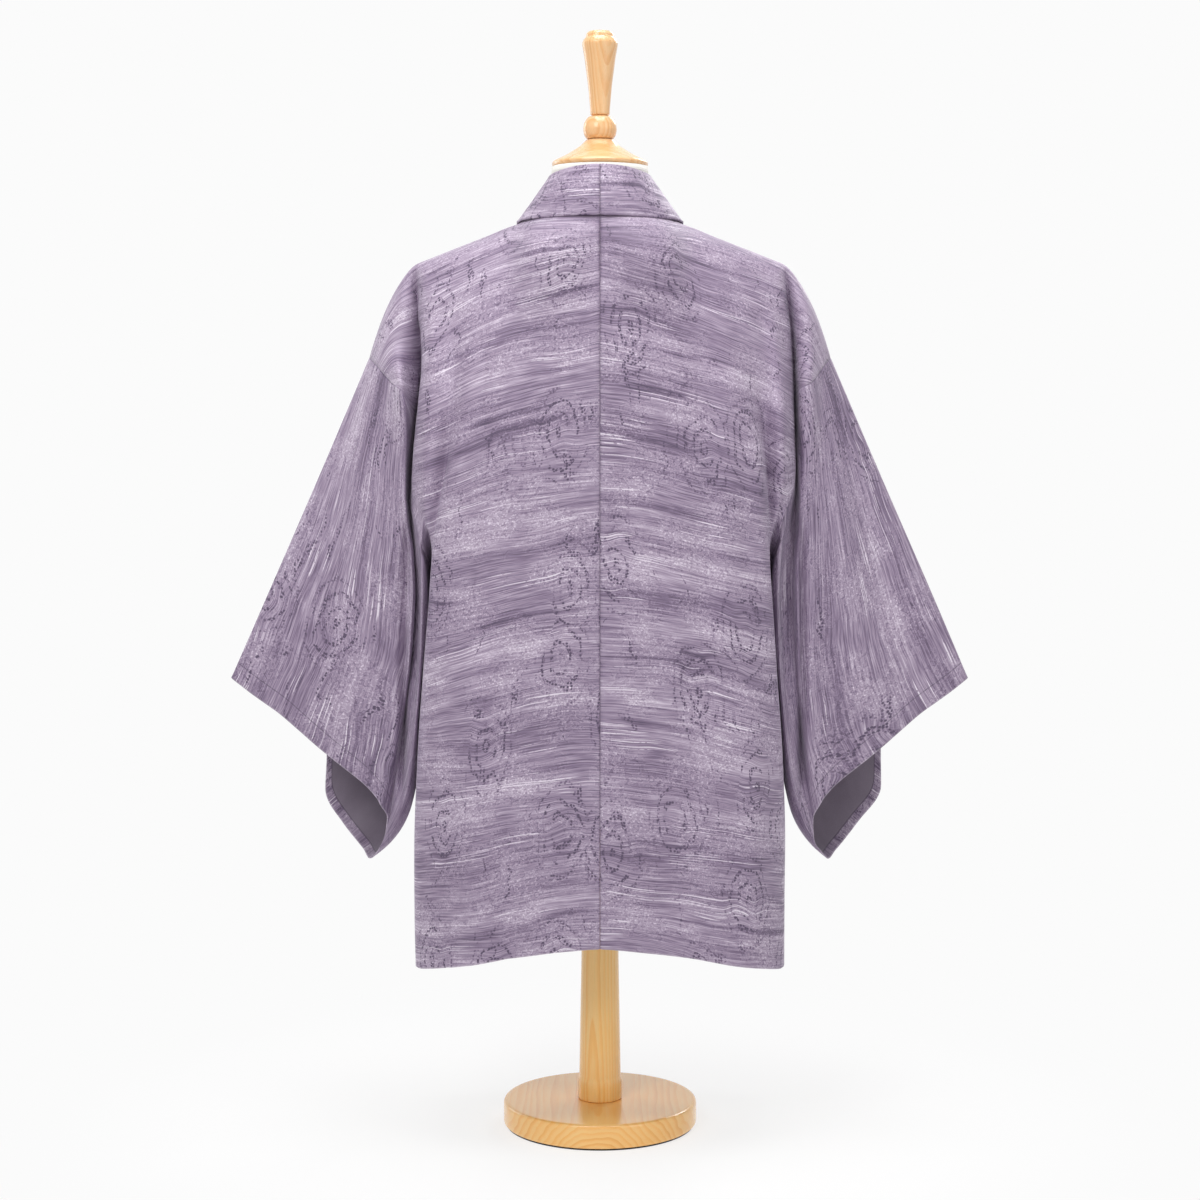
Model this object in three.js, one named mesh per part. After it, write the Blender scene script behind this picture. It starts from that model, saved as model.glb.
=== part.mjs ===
// Haori jacket hung on a limbless dress form with a turned wooden stand.
// Millimetres, +Z up, origin at the middle of the base's underside.
// The jacket's front faces -Y; the wearer's left side is +X.
import * as THREE from 'three';

// ---- driving dimensions ----------------------------------------------------
const CLOTH = 1.2;              // wall of the body, sleeves and gussets
const BAND = 2.4;               // folded collar band, two layers pressed together
const SEAM = 0.3;               // gap between sewn pieces
const LAP = 3;                  // body cloth that runs on under the collar band
const REST = 2.9;               // least distance from cloth middle to the form
const NECK_X = 84.5;            // where the collar seam crosses the shoulder ridge
const SIDE_X = 190;             // reference half width for the droop of the wefts
const DROOP = 1.6;              // power of that droop
const BASE_R = 101.9, BASE_TOP = 27, FELT = 2;
const TORSO_BOTTOM = 330, TORSO_TOP = 1002;

// rows of numbers under named columns -> list of objects
const table = (names, rows) => {
  const n = names.trim().split(/\s+/);
  return rows.map((r) => Object.fromEntries(n.map((k, i) => [k, r[i]])));
};

// ---- dress form: oval sections ----------------------------------------------
const TORSO = table('z halfWidth halfDepth middle power', [
  [TORSO_BOTTOM, 138, 86, 0, 2.1],
  [336, 150, 97, 0, 2.1],
  [375, 159, 104, 0, 2.1],
  [440, 158, 103, 0, 2.1],
  [530, 138, 92, 0, 2.1],
  [610, 127, 86, 0, 2.1],
  [690, 141, 93, 0, 2.15],
  [760, 160, 97, 0, 2.2],
  [815, 176, 90, 2, 2.2],
  [850, 184, 80, 4, 2.15],
  [875, 182, 68, 4, 2.1],
  [893, 166, 57, 4, 2.0],
  [910, 136, 52, 4, 2.0],
  [924, 102, 51, 4, 2.0],
  [936, 76, 53, 3, 2.0],
  [949, 60, 53, 2, 2.0],
  [966, 52.5, 51, 1, 2.0],
  [985, 50, 50, 0, 2.0],
  [TORSO_TOP, 49.6, 49.6, 0, 2.0],
]);

// ---- body panels: one row per weft section, from the neck to the hem ---------
// z, drop: height at the centre back and how far the weft has dropped at SIDE_X
// c: depth at the centre back; n: depth in line with the neck; m*: mid panel;
// e*: edge of the flat back; f*: tuck behind it; s*: roll beside it; v*: deep pleat
const BACK = {
  left: table('z drop c n mx my ex ey fx fy sx sy vx vy', [
    [946, 0, 75, 0, 118, 0, 152, 0, 168, 0, 182, 0, 194, 0],
    [922, 52, 84, 66, 116, 54, 146, 42, 160, 35, 177, 27, 193, 13],
    [884, 62, 95, 88, 114, 80, 138, 68, 152, 60, 174, 45, 193, 12],
    [838, 60, 105, 101, 110, 97, 134, 86, 149, 77, 172, 66, 194, 16],
    [790, 56, 111, 109, 108, 107, 136, 98, 151, 87, 172, 84, 195, 24],
    [738, 52, 115, 114, 112, 112, 148, 101, 153, 86, 174, 88, 190, 58],
    [690, 46, 117, 117, 118, 114, 158, 98, 162, 86, 173, 87, 178, 82],
    [640, 42, 118, 118, 122, 115, 166, 93, 168, 83, 169.5, 66, 170.5, 42],
    [592, 40, 119, 119, 124, 115, 170, 90, 172, 78, 171, 60, 171, 38],
    [530, 38, 119, 120, 126, 116, 176.5, 88, 178, 74, 178, 58, 178, 40],
    [430, 35, 120, 121, 128, 117, 184, 80, 185.5, 68, 186, 56, 186, 44],
    [330, 33, 121, 122, 130, 117, 186.5, 74, 189, 62, 189.6, 54, 190, 44],
    [262, 31, 121, 122, 130, 117, 186.5, 74, 189, 62, 189.6, 54, 190, 44],
    [213.7, 31, 121, 122, 130, 117, 184, 78, 188.4, 63, 189.4, 54, 189.8, 44],
  ]),
  right: table('z drop c n mx my ex ey fx fy sx sy vx vy', [
    [946, 0, 75, 0, 118, 0, 152, 0, 168, 0, 182, 0, 194, 0],
    [922, 52, 84, 66, 116, 54, 146, 42, 160, 34, 177, 27, 195, 16],
    [884, 62, 95, 88, 114, 80, 138, 69, 154, 58, 175, 46, 197, 20],
    [838, 60, 105, 101, 112, 96, 140, 84, 158, 68, 177, 64, 198, 24],
    [790, 56, 111, 109, 116, 106, 148, 96, 164, 66, 179, 78, 198, 30],
    [738, 52, 115, 114, 120, 112, 160, 99, 168, 66, 180, 80, 193, 58],
    [690, 46, 117, 117, 122, 114, 165, 97, 170, 74, 177, 78, 181, 74],
    [640, 42, 118, 118, 124, 115, 168, 93, 170, 80, 170.5, 64, 171, 42],
    [592, 40, 119, 119, 124, 115, 172, 92, 173, 78, 172, 60, 171, 38],
    [530, 38, 119, 120, 126, 116, 176.5, 88, 178, 74, 178, 58, 178, 40],
    [430, 35, 120, 121, 128, 117, 184, 80, 185.5, 68, 186, 56, 186, 44],
    [330, 33, 121, 122, 130, 117, 186.5, 74, 189, 62, 189.6, 54, 190, 44],
    [262, 31, 121, 122, 130, 117, 186.5, 74, 189, 62, 189.6, 54, 190, 44],
    [213.7, 31, 121, 122, 130, 117, 184, 78, 188.4, 63, 189.4, 54, 189.8, 44],
  ]),
};
// fronts: nx is the edge under the collar band
const FRONT = table('z drop nx n mx my ex ey fx fy sx sy vx vy', [
  [946, 0, NECK_X, 0, 118, 0, 152, 0, 168, 0, 182, 0, 194, 0],
  [926, 52, 85, -44, 117, -38, 148, -32, 163, -27, 179, -20, 194, -11],
  [888, 60, 86, -78, 116, -72, 146, -60, 162, -50, 178, -36, 193, -17],
  [840, 58, 86.5, -99, 116, -94, 146, -80, 160, -68, 176, -54, 192, -27],
  [790, 54, 87, -110, 116, -106, 148, -94, 162, -82, 175, -70, 190, -40],
  [738, 50, 87, -115, 118, -112, 150, -101, 164, -90, 176, -78, 187, -60],
  [690, 46, 87.5, -117, 122, -114, 157, -101, 166, -92, 173, -84, 178, -76],
  [640, 42, 87.5, -118, 124, -115, 163, -97, 168, -85, 170, -66, 170.5, -42],
  [592, 40, 88, -118, 126, -115, 168, -94, 171, -78, 171, -60, 171, -38],
  [530, 38, 88, -119, 128, -116, 174, -92, 177, -76, 178, -60, 178, -42],
  [430, 35, 88, -120, 130, -117, 180, -90, 185, -74, 186, -60, 186, -44],
  [330, 33, 88, -121, 130, -117, 184, -88, 188.6, -73, 189.6, -60, 190, -46],
  [262, 31, 88, -121, 130, -117, 184, -88, 188.6, -73, 189.6, -60, 190, -46],
  [213.7, 31, 88, -121, 130, -117, 184, -88, 188.6, -73, 189.6, -60, 190, -46],
]);
const UNDERARM = 7;             // the weft row that meets the foot of the armhole
// side seams below the underarm, a row per weft: across, and half the gusset
const SIDE = table('x half', [
  [171, 11], [177.5, 17], [186, 23], [190.4, 28], [190.6, 31], [190.2, 33],
]);

// ---- sleeves: one row per fold line, at four stations from seam to cuff ------
const STATIONS = [0, 0.4, 0.75, 1];
const sleeveTable = (rows) => table(
  'seamX seamY seamZ midX midY midZ lowX lowY lowZ cuffX cuffY cuffZ', rows);
const SLEEVE = {
  left: sleeveTable([
    [238, 0, 807, 296, 0, 674, 348, 0, 557, 385, 0, 474],          // top fold
    [200, 54, 768, 198, 60, 600, 206, 55, 440, 228, 41, 350],      // outer lip of the pleat
    [197, 42, 694, 199, 30, 575, 207, 36, 420, 221, 30, 331],      // bottom of the pleat
    [181, 75, 623, 185, 68, 545, 196, 60, 392, 225, 18, 308],      // roll beside the body
    [174, 10, 590, 184, 32, 520, 195, 28, 352, 234, 7, 291],       // under the roll
    [174, 0, 589, 185, 0, 512, 197, 4, 346, 242, 0, 283],          // bottom fold
    [174, -10, 590, 184, -30, 520, 200, -30, 356, 251, -22, 290],  // front, under
    [181, -64, 625, 187, -64, 560, 209, -58, 402, 275, -42, 315],  // front roll
    [195, -50, 694, 199, -50, 610, 226, -52, 445, 293, -45, 350],  // front pleat
    [203, -52, 752, 213, -58, 645, 243, -55, 486, 291, -44, 391],  // front lip
  ]),
  right: sleeveTable([
    [238, 0, 807, 296, 0, 674, 348, 0, 557, 384, 0, 474],
    [203, 52, 766, 205, 58, 600, 210, 54, 440, 229, 42, 351],
    [200, 44, 700, 202, 34, 575, 208, 44, 420, 221, 30, 331],
    [184, 72, 640, 188, 62, 545, 197, 56, 392, 223, 18, 308],
    [174, 10, 590, 184, 32, 520, 195, 28, 352, 232, 7, 291],
    [174, 0, 589, 185, 0, 512, 197, 4, 346, 240, 0, 283],
    [174, -10, 590, 184, -30, 520, 200, -30, 356, 251, -22, 290],
    [181, -64, 625, 187, -64, 560, 209, -58, 402, 277, -43, 317],
    [195, -50, 694, 199, -50, 610, 226, -52, 445, 300, -46, 354],
    [203, -52, 752, 213, -58, 645, 243, -55, 486, 299, -44, 396],
  ]),
};
// where the loop is also divided between the top fold and a lip, 0 to 1
const SPREAD = [0.1, 0.32, 0.65];
const ROUND = 0.7;              // how round the top fold is
const CUFF_ARCH = 6;            // rise of the open edge between the top fold and the lip

// ---- collar band ------------------------------------------------------------------
// round the back of the neck: lower line on the body, and folded edge
const NECK = table('part seamX seamY seamZ foldX foldY foldZ', [
  [0, 0, 75, 947, 0, 58, 999],
  [0.36, 30, 71, 946.6, 21, 53, 997.6],
  [0.72, 60, 50, 945.5, 41, 35, 994],
  [0.93, 78, 24, 944.4, 51, 16, 990.5],
  [1, NECK_X, 0, 943.6, 54.5, -6, 984],
]);
// down the front, a row per weft: folded edge across, and its offset from the body's edge
const BAND_EDGE = table('x back rise', [
  [54, 6, 48], [52, 8, 38], [46, 3, 29], [39, -1, 14], [33, -2, 5], [30, -3, 3],
  [29, -3, 3], [28, -3, 3], [28, -3, 3], [28, -3, 3], [28, -2.5, 3], [28, -2.5, 3], [28, -2.5, 3], [28, -2.5, 3],
]);

// ---- curve helpers ------------------------------------------------------------
// monotone cubic through values v at knots k: no overshoot between rows
const monotone = (k, v) => {
  const n = k.length, h = [], d = [], m = new Array(n).fill(0);
  for (let i = 0; i < n - 1; i++) { h[i] = k[i + 1] - k[i]; d[i] = (v[i + 1] - v[i]) / h[i]; }
  if (n === 2) { m[0] = m[1] = d[0]; } else {
    for (let i = 1; i < n - 1; i++) {
      if (d[i - 1] * d[i] > 0) {
        const a = 2 * h[i] + h[i - 1], b = h[i] + 2 * h[i - 1];
        m[i] = (a + b) / (a / d[i - 1] + b / d[i]);
      }
    }
    const end = (h0, h1, d0, d1) => {
      let e = ((2 * h0 + h1) * d0 - h0 * d1) / (h0 + h1);
      if (e * d0 <= 0) e = 0; else if (d0 * d1 < 0 && Math.abs(e) > 3 * Math.abs(d0)) e = 3 * d0;
      return e;
    };
    m[0] = end(h[0], h[1], d[0], d[1]);
    m[n - 1] = end(h[n - 2], h[n - 3], d[n - 2], d[n - 3]);
  }
  return (x) => {
    let i = 0; while (i < n - 2 && x > k[i + 1]) i++;
    const t = (x - k[i]) / h[i], t2 = t * t, t3 = t2 * t;
    return v[i] * (2 * t3 - 3 * t2 + 1) + h[i] * m[i] * (t3 - 2 * t2 + t)
      + v[i + 1] * (3 * t2 - 2 * t3) + h[i] * m[i + 1] * (t3 - t2);
  };
};
const smoothLine = (k, pts) => {
  const f = [0, 1, 2].map((a) => monotone(k, pts.map((p) => p[a])));
  return (x) => f.map((g) => g(x));
};
// surface through a net of points: net[row][column]
const smoothNet = (rowKnots, colKnots, net) => {
  const lines = net.map((row) => smoothLine(colKnots, row));
  return (r, c) => smoothLine(rowKnots, lines.map((l) => l(c)))(r);
};
const lerp = (a, b, t) => a + (b - a) * t;
const mix = (p, q, t) => p.map((v, i) => lerp(v, q[i], t));
// knots with extra steps between them
const divide = (knots, steps) => {
  const out = [knots[0]];
  for (let i = 1; i < knots.length; i++) {
    const n = Array.isArray(steps) ? steps[i - 1] : steps;
    for (let s = 1; s <= n; s++) out.push(lerp(knots[i - 1], knots[i], s / n));
  }
  return out;
};
// running length of a row of points, used as its knots
const lengths = (pts) => {
  const out = [0];
  for (let i = 1; i < pts.length; i++) out.push(out[i - 1] + Math.max(1, Math.hypot(...pts[i].map((v, a) => v - pts[i - 1][a]))));
  return out;
};

// ---- the form's section at a height, to keep the cloth off it ------------------
const torsoAt = ['halfWidth', 'halfDepth', 'middle', 'power'].map((key) => monotone(TORSO.map((r) => r.z), TORSO.map((r) => r[key])));
const torso = (z) => torsoAt.map((f) => f(Math.min(TORSO_TOP, Math.max(TORSO_BOTTOM, z))));
const offForm = ([x, y, z]) => {
  if (z > TORSO_TOP || z < TORSO_BOTTOM) return [x, y, z];
  const [a, b, m, p] = torso(z);
  const dy = y - m, r = (Math.abs(x) / (a + REST)) ** p + (Math.abs(dy) / (b + REST)) ** p;
  if (r >= 1 || r < 1e-6) return [x, y, z];
  const k = r ** (-1 / p);
  return [x * k, m + dy * k, z];
};

// ---- solids -----------------------------------------------------------------------
const solid = (name, positions, index, colour, roughness) => {
  const g = new THREE.BufferGeometry();
  g.setAttribute('position', new THREE.Float32BufferAttribute(positions.flat(), 3));
  g.setIndex(index.flat());
  g.computeVertexNormals();
  const mesh = new THREE.Mesh(g, new THREE.MeshStandardMaterial({ color: colour, roughness, metalness: 0 }));
  mesh.name = name;
  return mesh;
};
// closed wall of the given thickness about a sheet of points and triangles
const wall = (name, pts, tris, thickness, colour, mirror) => {
  const normals = pts.map(() => new THREE.Vector3());
  const P = pts.map((p) => new THREE.Vector3(...p));
  for (const [a, b, c] of tris) {
    const n = new THREE.Vector3().subVectors(P[b], P[a]).cross(new THREE.Vector3().subVectors(P[c], P[a]));
    for (const i of [a, b, c]) normals[i].add(n);
  }
  normals.forEach((n) => n.normalize());
  const h = thickness / 2, n = pts.length, out = [];
  for (const s of [1, -1]) P.forEach((p, i) => out.push([Math.max(SEAM / 2, p.x + s * h * normals[i].x), p.y + s * h * normals[i].y, p.z + s * h * normals[i].z]));
  const edges = new Map(), index = [];
  for (const t of tris) {
    index.push(t, [t[2] + n, t[1] + n, t[0] + n]);
    for (let i = 0; i < 3; i++) edges.set(t[i] + '_' + t[(i + 1) % 3], [t[i], t[(i + 1) % 3]]);
  }
  for (const [a, b] of edges.values()) if (!edges.has(b + '_' + a)) index.push([b, a, a + n], [b, a + n, b + n]);
  let pos = out, idx = index;
  if (mirror) { pos = out.map(([x, y, z]) => [-x, y, z]); idx = index.map(([a, b, c]) => [a, c, b]); }
  return solid(name, pos, idx, colour, 0.62);
};
const gridSheet = (rows, cols, at, keep = () => true) => {
  const pts = [], id = new Map(), tris = [];
  const get = (i, j) => {
    const k = i * 10000 + j;
    if (!id.has(k)) { id.set(k, pts.length); pts.push(at(rows[i], cols[j], i, j)); }
    return id.get(k);
  };
  for (let i = 0; i < rows.length - 1; i++) for (let j = 0; j < cols.length - 1; j++) {
    if (!keep(rows[i], rows[i + 1], cols[j], cols[j + 1])) continue;
    const a = get(i, j), b = get(i, j + 1), c = get(i + 1, j + 1), d = get(i + 1, j);
    tris.push([a, d, c], [a, c, b]);
  }
  return { pts, tris };
};

// ---- jacket ---------------------------------------------------------------------
const PURPLE = 0x8b7d9c;
// loop of points round a sleeve at one station: top, back layer, bottom, front layer
const sleeveLoop = (side, key) => {
  const p = SLEEVE[side].map((r) => [r[key + 'X'], r[key + 'Y'], r[key + 'Z']]);
  const arch = key === 'cuff' ? CUFF_ARCH : 0;
  const spread = (q) => SPREAD.map((f) => { const m = mix(p[0], q, f); m[1] = q[1] * f ** ROUND; m[2] += arch * Math.sin(Math.PI * f); return m; });
  const [top, lip, pleat, roll, under, bottom, fUnder, fRoll, fPleat, fLip] = p;
  return [top, ...spread(lip), lip, pleat, roll, under, bottom, fUnder, fRoll, fPleat, fLip, ...spread(fLip).reverse(), top];
};
const drooped = (row, x) => row.z - row.drop * (Math.abs(x) / SIDE_X) ** DROOP;

// closed loops of a sleeve as a surface: station 0 (armhole) to 1 (cuff), t round the loop
const WRAP = 3;
const sleeveSurface = (side) => {
  const net = ['seam', 'mid', 'low', 'cuff'].map((k) => sleeveLoop(side, k));
  const knots = lengths(net[1]), n = net[0].length - 1, total = knots[n];
  const pk = [], idx = [];
  for (let i = -WRAP; i <= n + WRAP; i++) { const j = ((i % n) + n) % n; idx.push(j); pk.push(knots[j] + total * Math.floor(i / n)); }
  return { knots, total, at: smoothNet(STATIONS, pk, net.map((row) => idx.map((j) => row[j]))) };
};

// net of control points of one body panel. Columns: centre, neck, mid, edge, tuck,
// roll, pleat, beside, seam. The first row is the neck and shoulder ridge.
const RIDGE = 1;                // one more row, half way from the ridge to the next weft
const bodyNet = (side, front) => {
  const sign = front ? -1 : 1;
  const seam = sleeveLoop(side, 'seam');
  const net = (front ? FRONT : BACK[side]).map((r, k) => {
    const at = (x, y) => [x, y, drooped(r, x)];
    const s = SIDE[k - UNDERARM - 1];
    const last = k <= UNDERARM ? seam[front ? (16 - k) % 16 : k] : [s.x, sign * s.half, drooped(r, s.x)];
    const first = front ? at(r.nx - LAP, r.n) : at(0, r.c);
    const v = at(r.vx, r.vy);
    if (k === 0) {
      const ridge = (x) => [x, 0, lerp(943.6, 902, (x - NECK_X) / (195 - NECK_X))];
      return [first, [NECK_X, 0, 943.6], ridge(r.mx), ridge(r.ex), ridge(r.fx), ridge(r.sx), [194, 0, 901], [216, 0, 868], last];
    }
    const beside = mix(v, last, 0.5);
    if (k <= 3) { beside[1] = sign * (Math.max(Math.abs(last[1]), Math.abs(v[1])) + 5); beside[2] += 17 - 4 * k; }
    return [first, front ? at(r.nx, r.n) : at(NECK_X, r.n), at(r.mx, r.my), at(r.ex, r.ey), at(r.fx, r.fy), at(r.sx, r.sy), v, beside, last];
  });
  // the cloth arches over the shoulder of the form
  const arch = [0, 8, 8, 7.5, 7, 6, 4, 3, 0];
  net.splice(1, 0, net[0].map((p, j) => {
    const q = net[1][j], m = mix(p, q, 0.5), dy = q[1] - p[1], dz = q[2] - p[2], l = Math.hypot(dy, dz) || 1;
    return [m[0], m[1] - (arch[j] * dz * sign) / l * 1, m[2] + (arch[j] * Math.abs(dy)) / l];
  }));
  return net;
};

const colKnots = [0, 8, 11.5, 15, 16.6, 18.6, 20.6, 22.4, 24.4];
const lastCol = colKnots[colKnots.length - 1];
const panelSurface = (side, front) => {
  const rows = front ? FRONT : BACK[side];
  const zk = rows.map((r) => rows[0].z - r.z);
  zk.splice(1, 0, zk[1] / 2);
  const raw = smoothNet(zk, colKnots, bodyNet(side, front));
  const loop = sleeveSurface(side);
  const foot = UNDERARM + RIDGE;
  // place on the armhole loop that belongs to a weft
  const onLoop = (r) => {
    let i = 0; while (i < foot - 1 && r > zk[i + 1]) i++;
    const k0 = i === 0 ? 0 : i === 1 ? 0.5 : i - 1, k1 = i === 0 ? 0.5 : i;
    const k = lerp(k0, k1, (r - zk[i]) / (zk[i + 1] - zk[i]));
    const j = Math.min(UNDERARM - 1, Math.floor(k)), t = lerp(loop.knots[j], loop.knots[j + 1], k - j);
    // the front runs the other way round the loop, from its own end
    if (!front) return t;
    const a = 16 - j, b = 15 - j;
    return lerp(loop.knots[a], loop.knots[b], k - j);
  };
  const at = (r, c) => {
    const p = raw(r, c);
    if (r > zk[foot] || c < colKnots[5]) return p;
    const want = loop.at(0, onLoop(r)), have = raw(r, lastCol);
    const w = ((c - colKnots[5]) / (lastCol - colKnots[5])) ** 2;
    return p.map((v, i) => v + w * (want[i] - have[i]));
  };
  return { zk, at, onLoop, loop, foot: zk[foot] };
};
// how far each piece stops short of the armhole seam: more where they meet at a sharp angle
const minus = (p, q) => p.map((v, i) => v - q[i]);
const dot = (p, q) => p[0] * q[0] + p[1] * q[1] + p[2] * q[2];
const unit = (p) => { const l = Math.sqrt(dot(p, p)) || 1; return p.map((v) => v / l); };
const along = (p, d, l) => p.map((v, i) => v + d[i] * l);
const NEAR = 0.5, NEAR_S = 0.02; // small steps into the body and into the sleeve
const MOST = 4.2;                // longest pull back, at the foot of the armhole
const seamEnds = (surface, r) => {
  const t = surface.onLoop(r), here = surface.loop.at(0, t);
  const run = unit(minus(surface.loop.at(0, t + 2), surface.loop.at(0, t - 2)));
  const across = (q) => { const d = minus(q, here), k = dot(d, run); return unit(d.map((v, i) => v - k * run[i])); };
  const body = across(surface.at(Math.min(r, surface.foot), lastCol - NEAR)), arm = across(surface.loop.at(NEAR_S, t));
  const angle = Math.acos(Math.max(-1, Math.min(1, dot(body, arm))));
  const pull = Math.min(MOST, SEAM / 2 + 0.35 + (CLOTH / 2 + 1.2) / Math.tan(Math.max(0.2, angle) / 2));
  return { body: along(here, body, pull), arm: along(here, arm, pull) };
};

// neck line on the body, from the centre back (0) to the shoulder ridge (1)
const neckLine = smoothLine(NECK.map((r) => r.part), NECK.map((r) => [r.seamX, r.seamY, r.seamZ]));
const ROW_STEPS = [1, 1, 2, 2, 2, 2, 2, 2, 1, 2, 2, 2, 1, 1];
const bodyPanel = (side, mirror) => {
  const back = panelSurface(side, false), front = panelSurface(side, true);
  const down = (s) => divide(s.zk, ROW_STEPS).slice(1);
  const colsAll = divide(colKnots, [4, 2, 2, 1, 2, 2, 1, 2]);
  const rows = [...down(back).reverse().map((v) => -v), 0, ...down(front)];
  const neckKnot = colKnots[1];
  const at = (r, c) => {
    const s = r <= 0 ? back : front, v = Math.abs(r);
    let p = s.at(v, c);
    if (r <= 0 && c < neckKnot) {
      // the cloth runs on a little above the lower line of the band
      const f = c / neckKnot;
      const rim = (g) => { const m = neckLine(g), k = 1 - (LAP + 2.4 * (1 - g)) / Math.hypot(m[0], m[1]); return [m[0] * k, m[1] * k, m[2] + LAP * (0.8 - 0.4 * g ** 4)]; };
      const stem = s.at(v, 0), side = s.at(v, neckKnot), fade = Math.max(0, 1 - v / back.zk[4]);
      const near = neckLine(f).map((e, i) => e + lerp(stem[i] - s.at(0, 0)[i], side[i] - s.at(0, neckKnot)[i], f));
      p = r === 0 ? rim(f) : mix(p, near, fade * fade * (3 - 2 * fade));
    }
    if (c === 0 && r <= 0) p = [SEAM / 2, p[1], p[2]];
    if (c === neckKnot && r > 0) p = [p[0] - LAP, p[1], p[2]];   // runs on under the band
    if (c === neckKnot && r === 0) p = [NECK_X - LAP, 0, 944.8];
    if (c === lastCol) {
      if (v <= s.foot) p = seamEnds(s, v).body;
      else p = along(p, unit(minus(s.at(v, c - NEAR), p)), SEAM / 2);
    }
    return offForm(p);
  };
  // the front has no cloth inside its edge under the band
  const sheet = gridSheet(rows, colsAll, at, (r0, r1, c0) => !(r0 >= 0 && c0 < neckKnot));
  return wall('body_' + side, sheet.pts, sheet.tris, CLOTH, PURPLE, mirror);
};

const sleeve = (side, mirror) => {
  const back = panelSurface(side, false), front = panelSurface(side, true);
  const { knots, at } = back.loop;
  const steps = [2, 2, 2, 2, 2, 2, 2, 1, 1, 2, 2, 2, 2, 2, 2, 2];
  const cols = divide(knots, steps);
  const rowOf = (s, t) => {      // weft of the body that meets the loop at t
    const n = divide(s.zk, ROW_STEPS).filter((v) => v <= s.foot);
    return n.reduce((best, v) => (Math.abs(s.onLoop(v) - t) < Math.abs(s.onLoop(best) - t) ? v : best), n[0]);
  };
  const stations = [0, 0.1, 0.2, 0.3, 0.4, 0.52, 0.64, 0.75, 0.84, 0.92, 1];
  const place = (s, t) => {
    const p = at(s, t);
    if (s > 0) return offForm(p);
    const body = t <= knots[8] ? back : front, inner = t > knots[7] && t < knots[9];
    if (inner) return [p[0] + 2.4, p[1], p[2] - 1.5];
    const q = seamEnds(body, rowOf(body, t)).arm;
    return t >= knots[7] && t <= knots[9] ? [q[0] + 1.8, q[1], q[2]] : q;
  };
  const pts = [], tris = [], m = cols.length - 1;
  stations.forEach((s) => { for (let j = 0; j < m; j++) pts.push(place(s, cols[j])); });
  for (let i = 0; i < stations.length - 1; i++) for (let j = 0; j < m; j++) {
    const a = i * m + j, b = i * m + (j + 1) % m, c = b + m, d = a + m;
    tris.push([a, c, b], [a, d, c]);
  }
  return wall('sleeve_' + side, pts, tris, CLOTH, PURPLE, mirror);
};

const gusset = (side, mirror) => {
  const rows = BACK[side].slice(UNDERARM + 1);
  const k = rows.map((r) => -r.z);
  const x = monotone(k, SIDE.map((s) => s.x)), half = monotone(k, SIDE.map((s) => s.half));
  const z = monotone(k, rows.map((r, i) => drooped(r, SIDE[i].x)));
  const steps = divide(k, 2);
  const sheet = gridSheet(steps, [-1, 0, 1], (r, c) => [x(r) + 0.8 * (1 - c * c), c * (half(r) - SEAM - 0.6), z(r)]);
  return wall('gusset_' + side, sheet.pts, sheet.tris, CLOTH, PURPLE, mirror);
};

const collar = (side, mirror) => {
  const front = panelSurface(side, true), neckKnot = colKnots[1];
  const low = (q) => (q <= 0 ? neckLine(1 + q) : front.at(q, neckKnot));
  const fold = [...NECK.map((r) => [r.foldX, r.foldY, r.foldZ]),
    ...front.zk.slice(1).map((v, k) => { const e = front.at(v, neckKnot), b = BAND_EDGE[k]; return [b.x, e[1] + b.back, e[2] + b.rise]; })];
  const knots = [...NECK.map((r) => r.part - 1), ...front.zk.slice(1)];
  const high = smoothLine([...NECK.map((r) => (r.part - 1) * 120), ...front.zk.slice(1)], fold);
  const rows = divide(knots, [2, 2, 2, 1, 1, 1, 2, 2, 2, 1, 1, 1, 1, 1, 1, 1, 1, 1]);
  const clear = CLOTH / 2 + SEAM + BAND / 2 + 0.15;
  const at = (q, c) => {
    const p = low(q), h = high(q <= 0 ? q * 120 : q);
    // the band's lower edge lies on the body cloth, clear of it
    const level = Math.min(1, Math.abs(p[1]) / 60), up = lerp(1, p[1] > 0 ? 0.25 : 0.05, level);
    const o = unit([0.3 * (1 - level) + 0.002 * p[0] * level, Math.sign(p[1]) * level, up]).map((v) => v * clear);
    const m = mix(along(p, o, 1), h, c);
    m[1] += Math.sign(p[1]) * 2.2 * Math.sin(Math.PI * c) * Math.min(1, Math.abs(p[1]) / 30);
    if (q === knots[0]) m[0] = SEAM / 2;
    return m;
  };
  const sheet = gridSheet(rows, [0, 0.25, 0.5, 0.75, 1], at);
  sheet.tris = sheet.tris.map(([a, b, c]) => [a, c, b]);
  return wall('collar_' + side, sheet.pts, sheet.tris, BAND, PURPLE, mirror);
};

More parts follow.
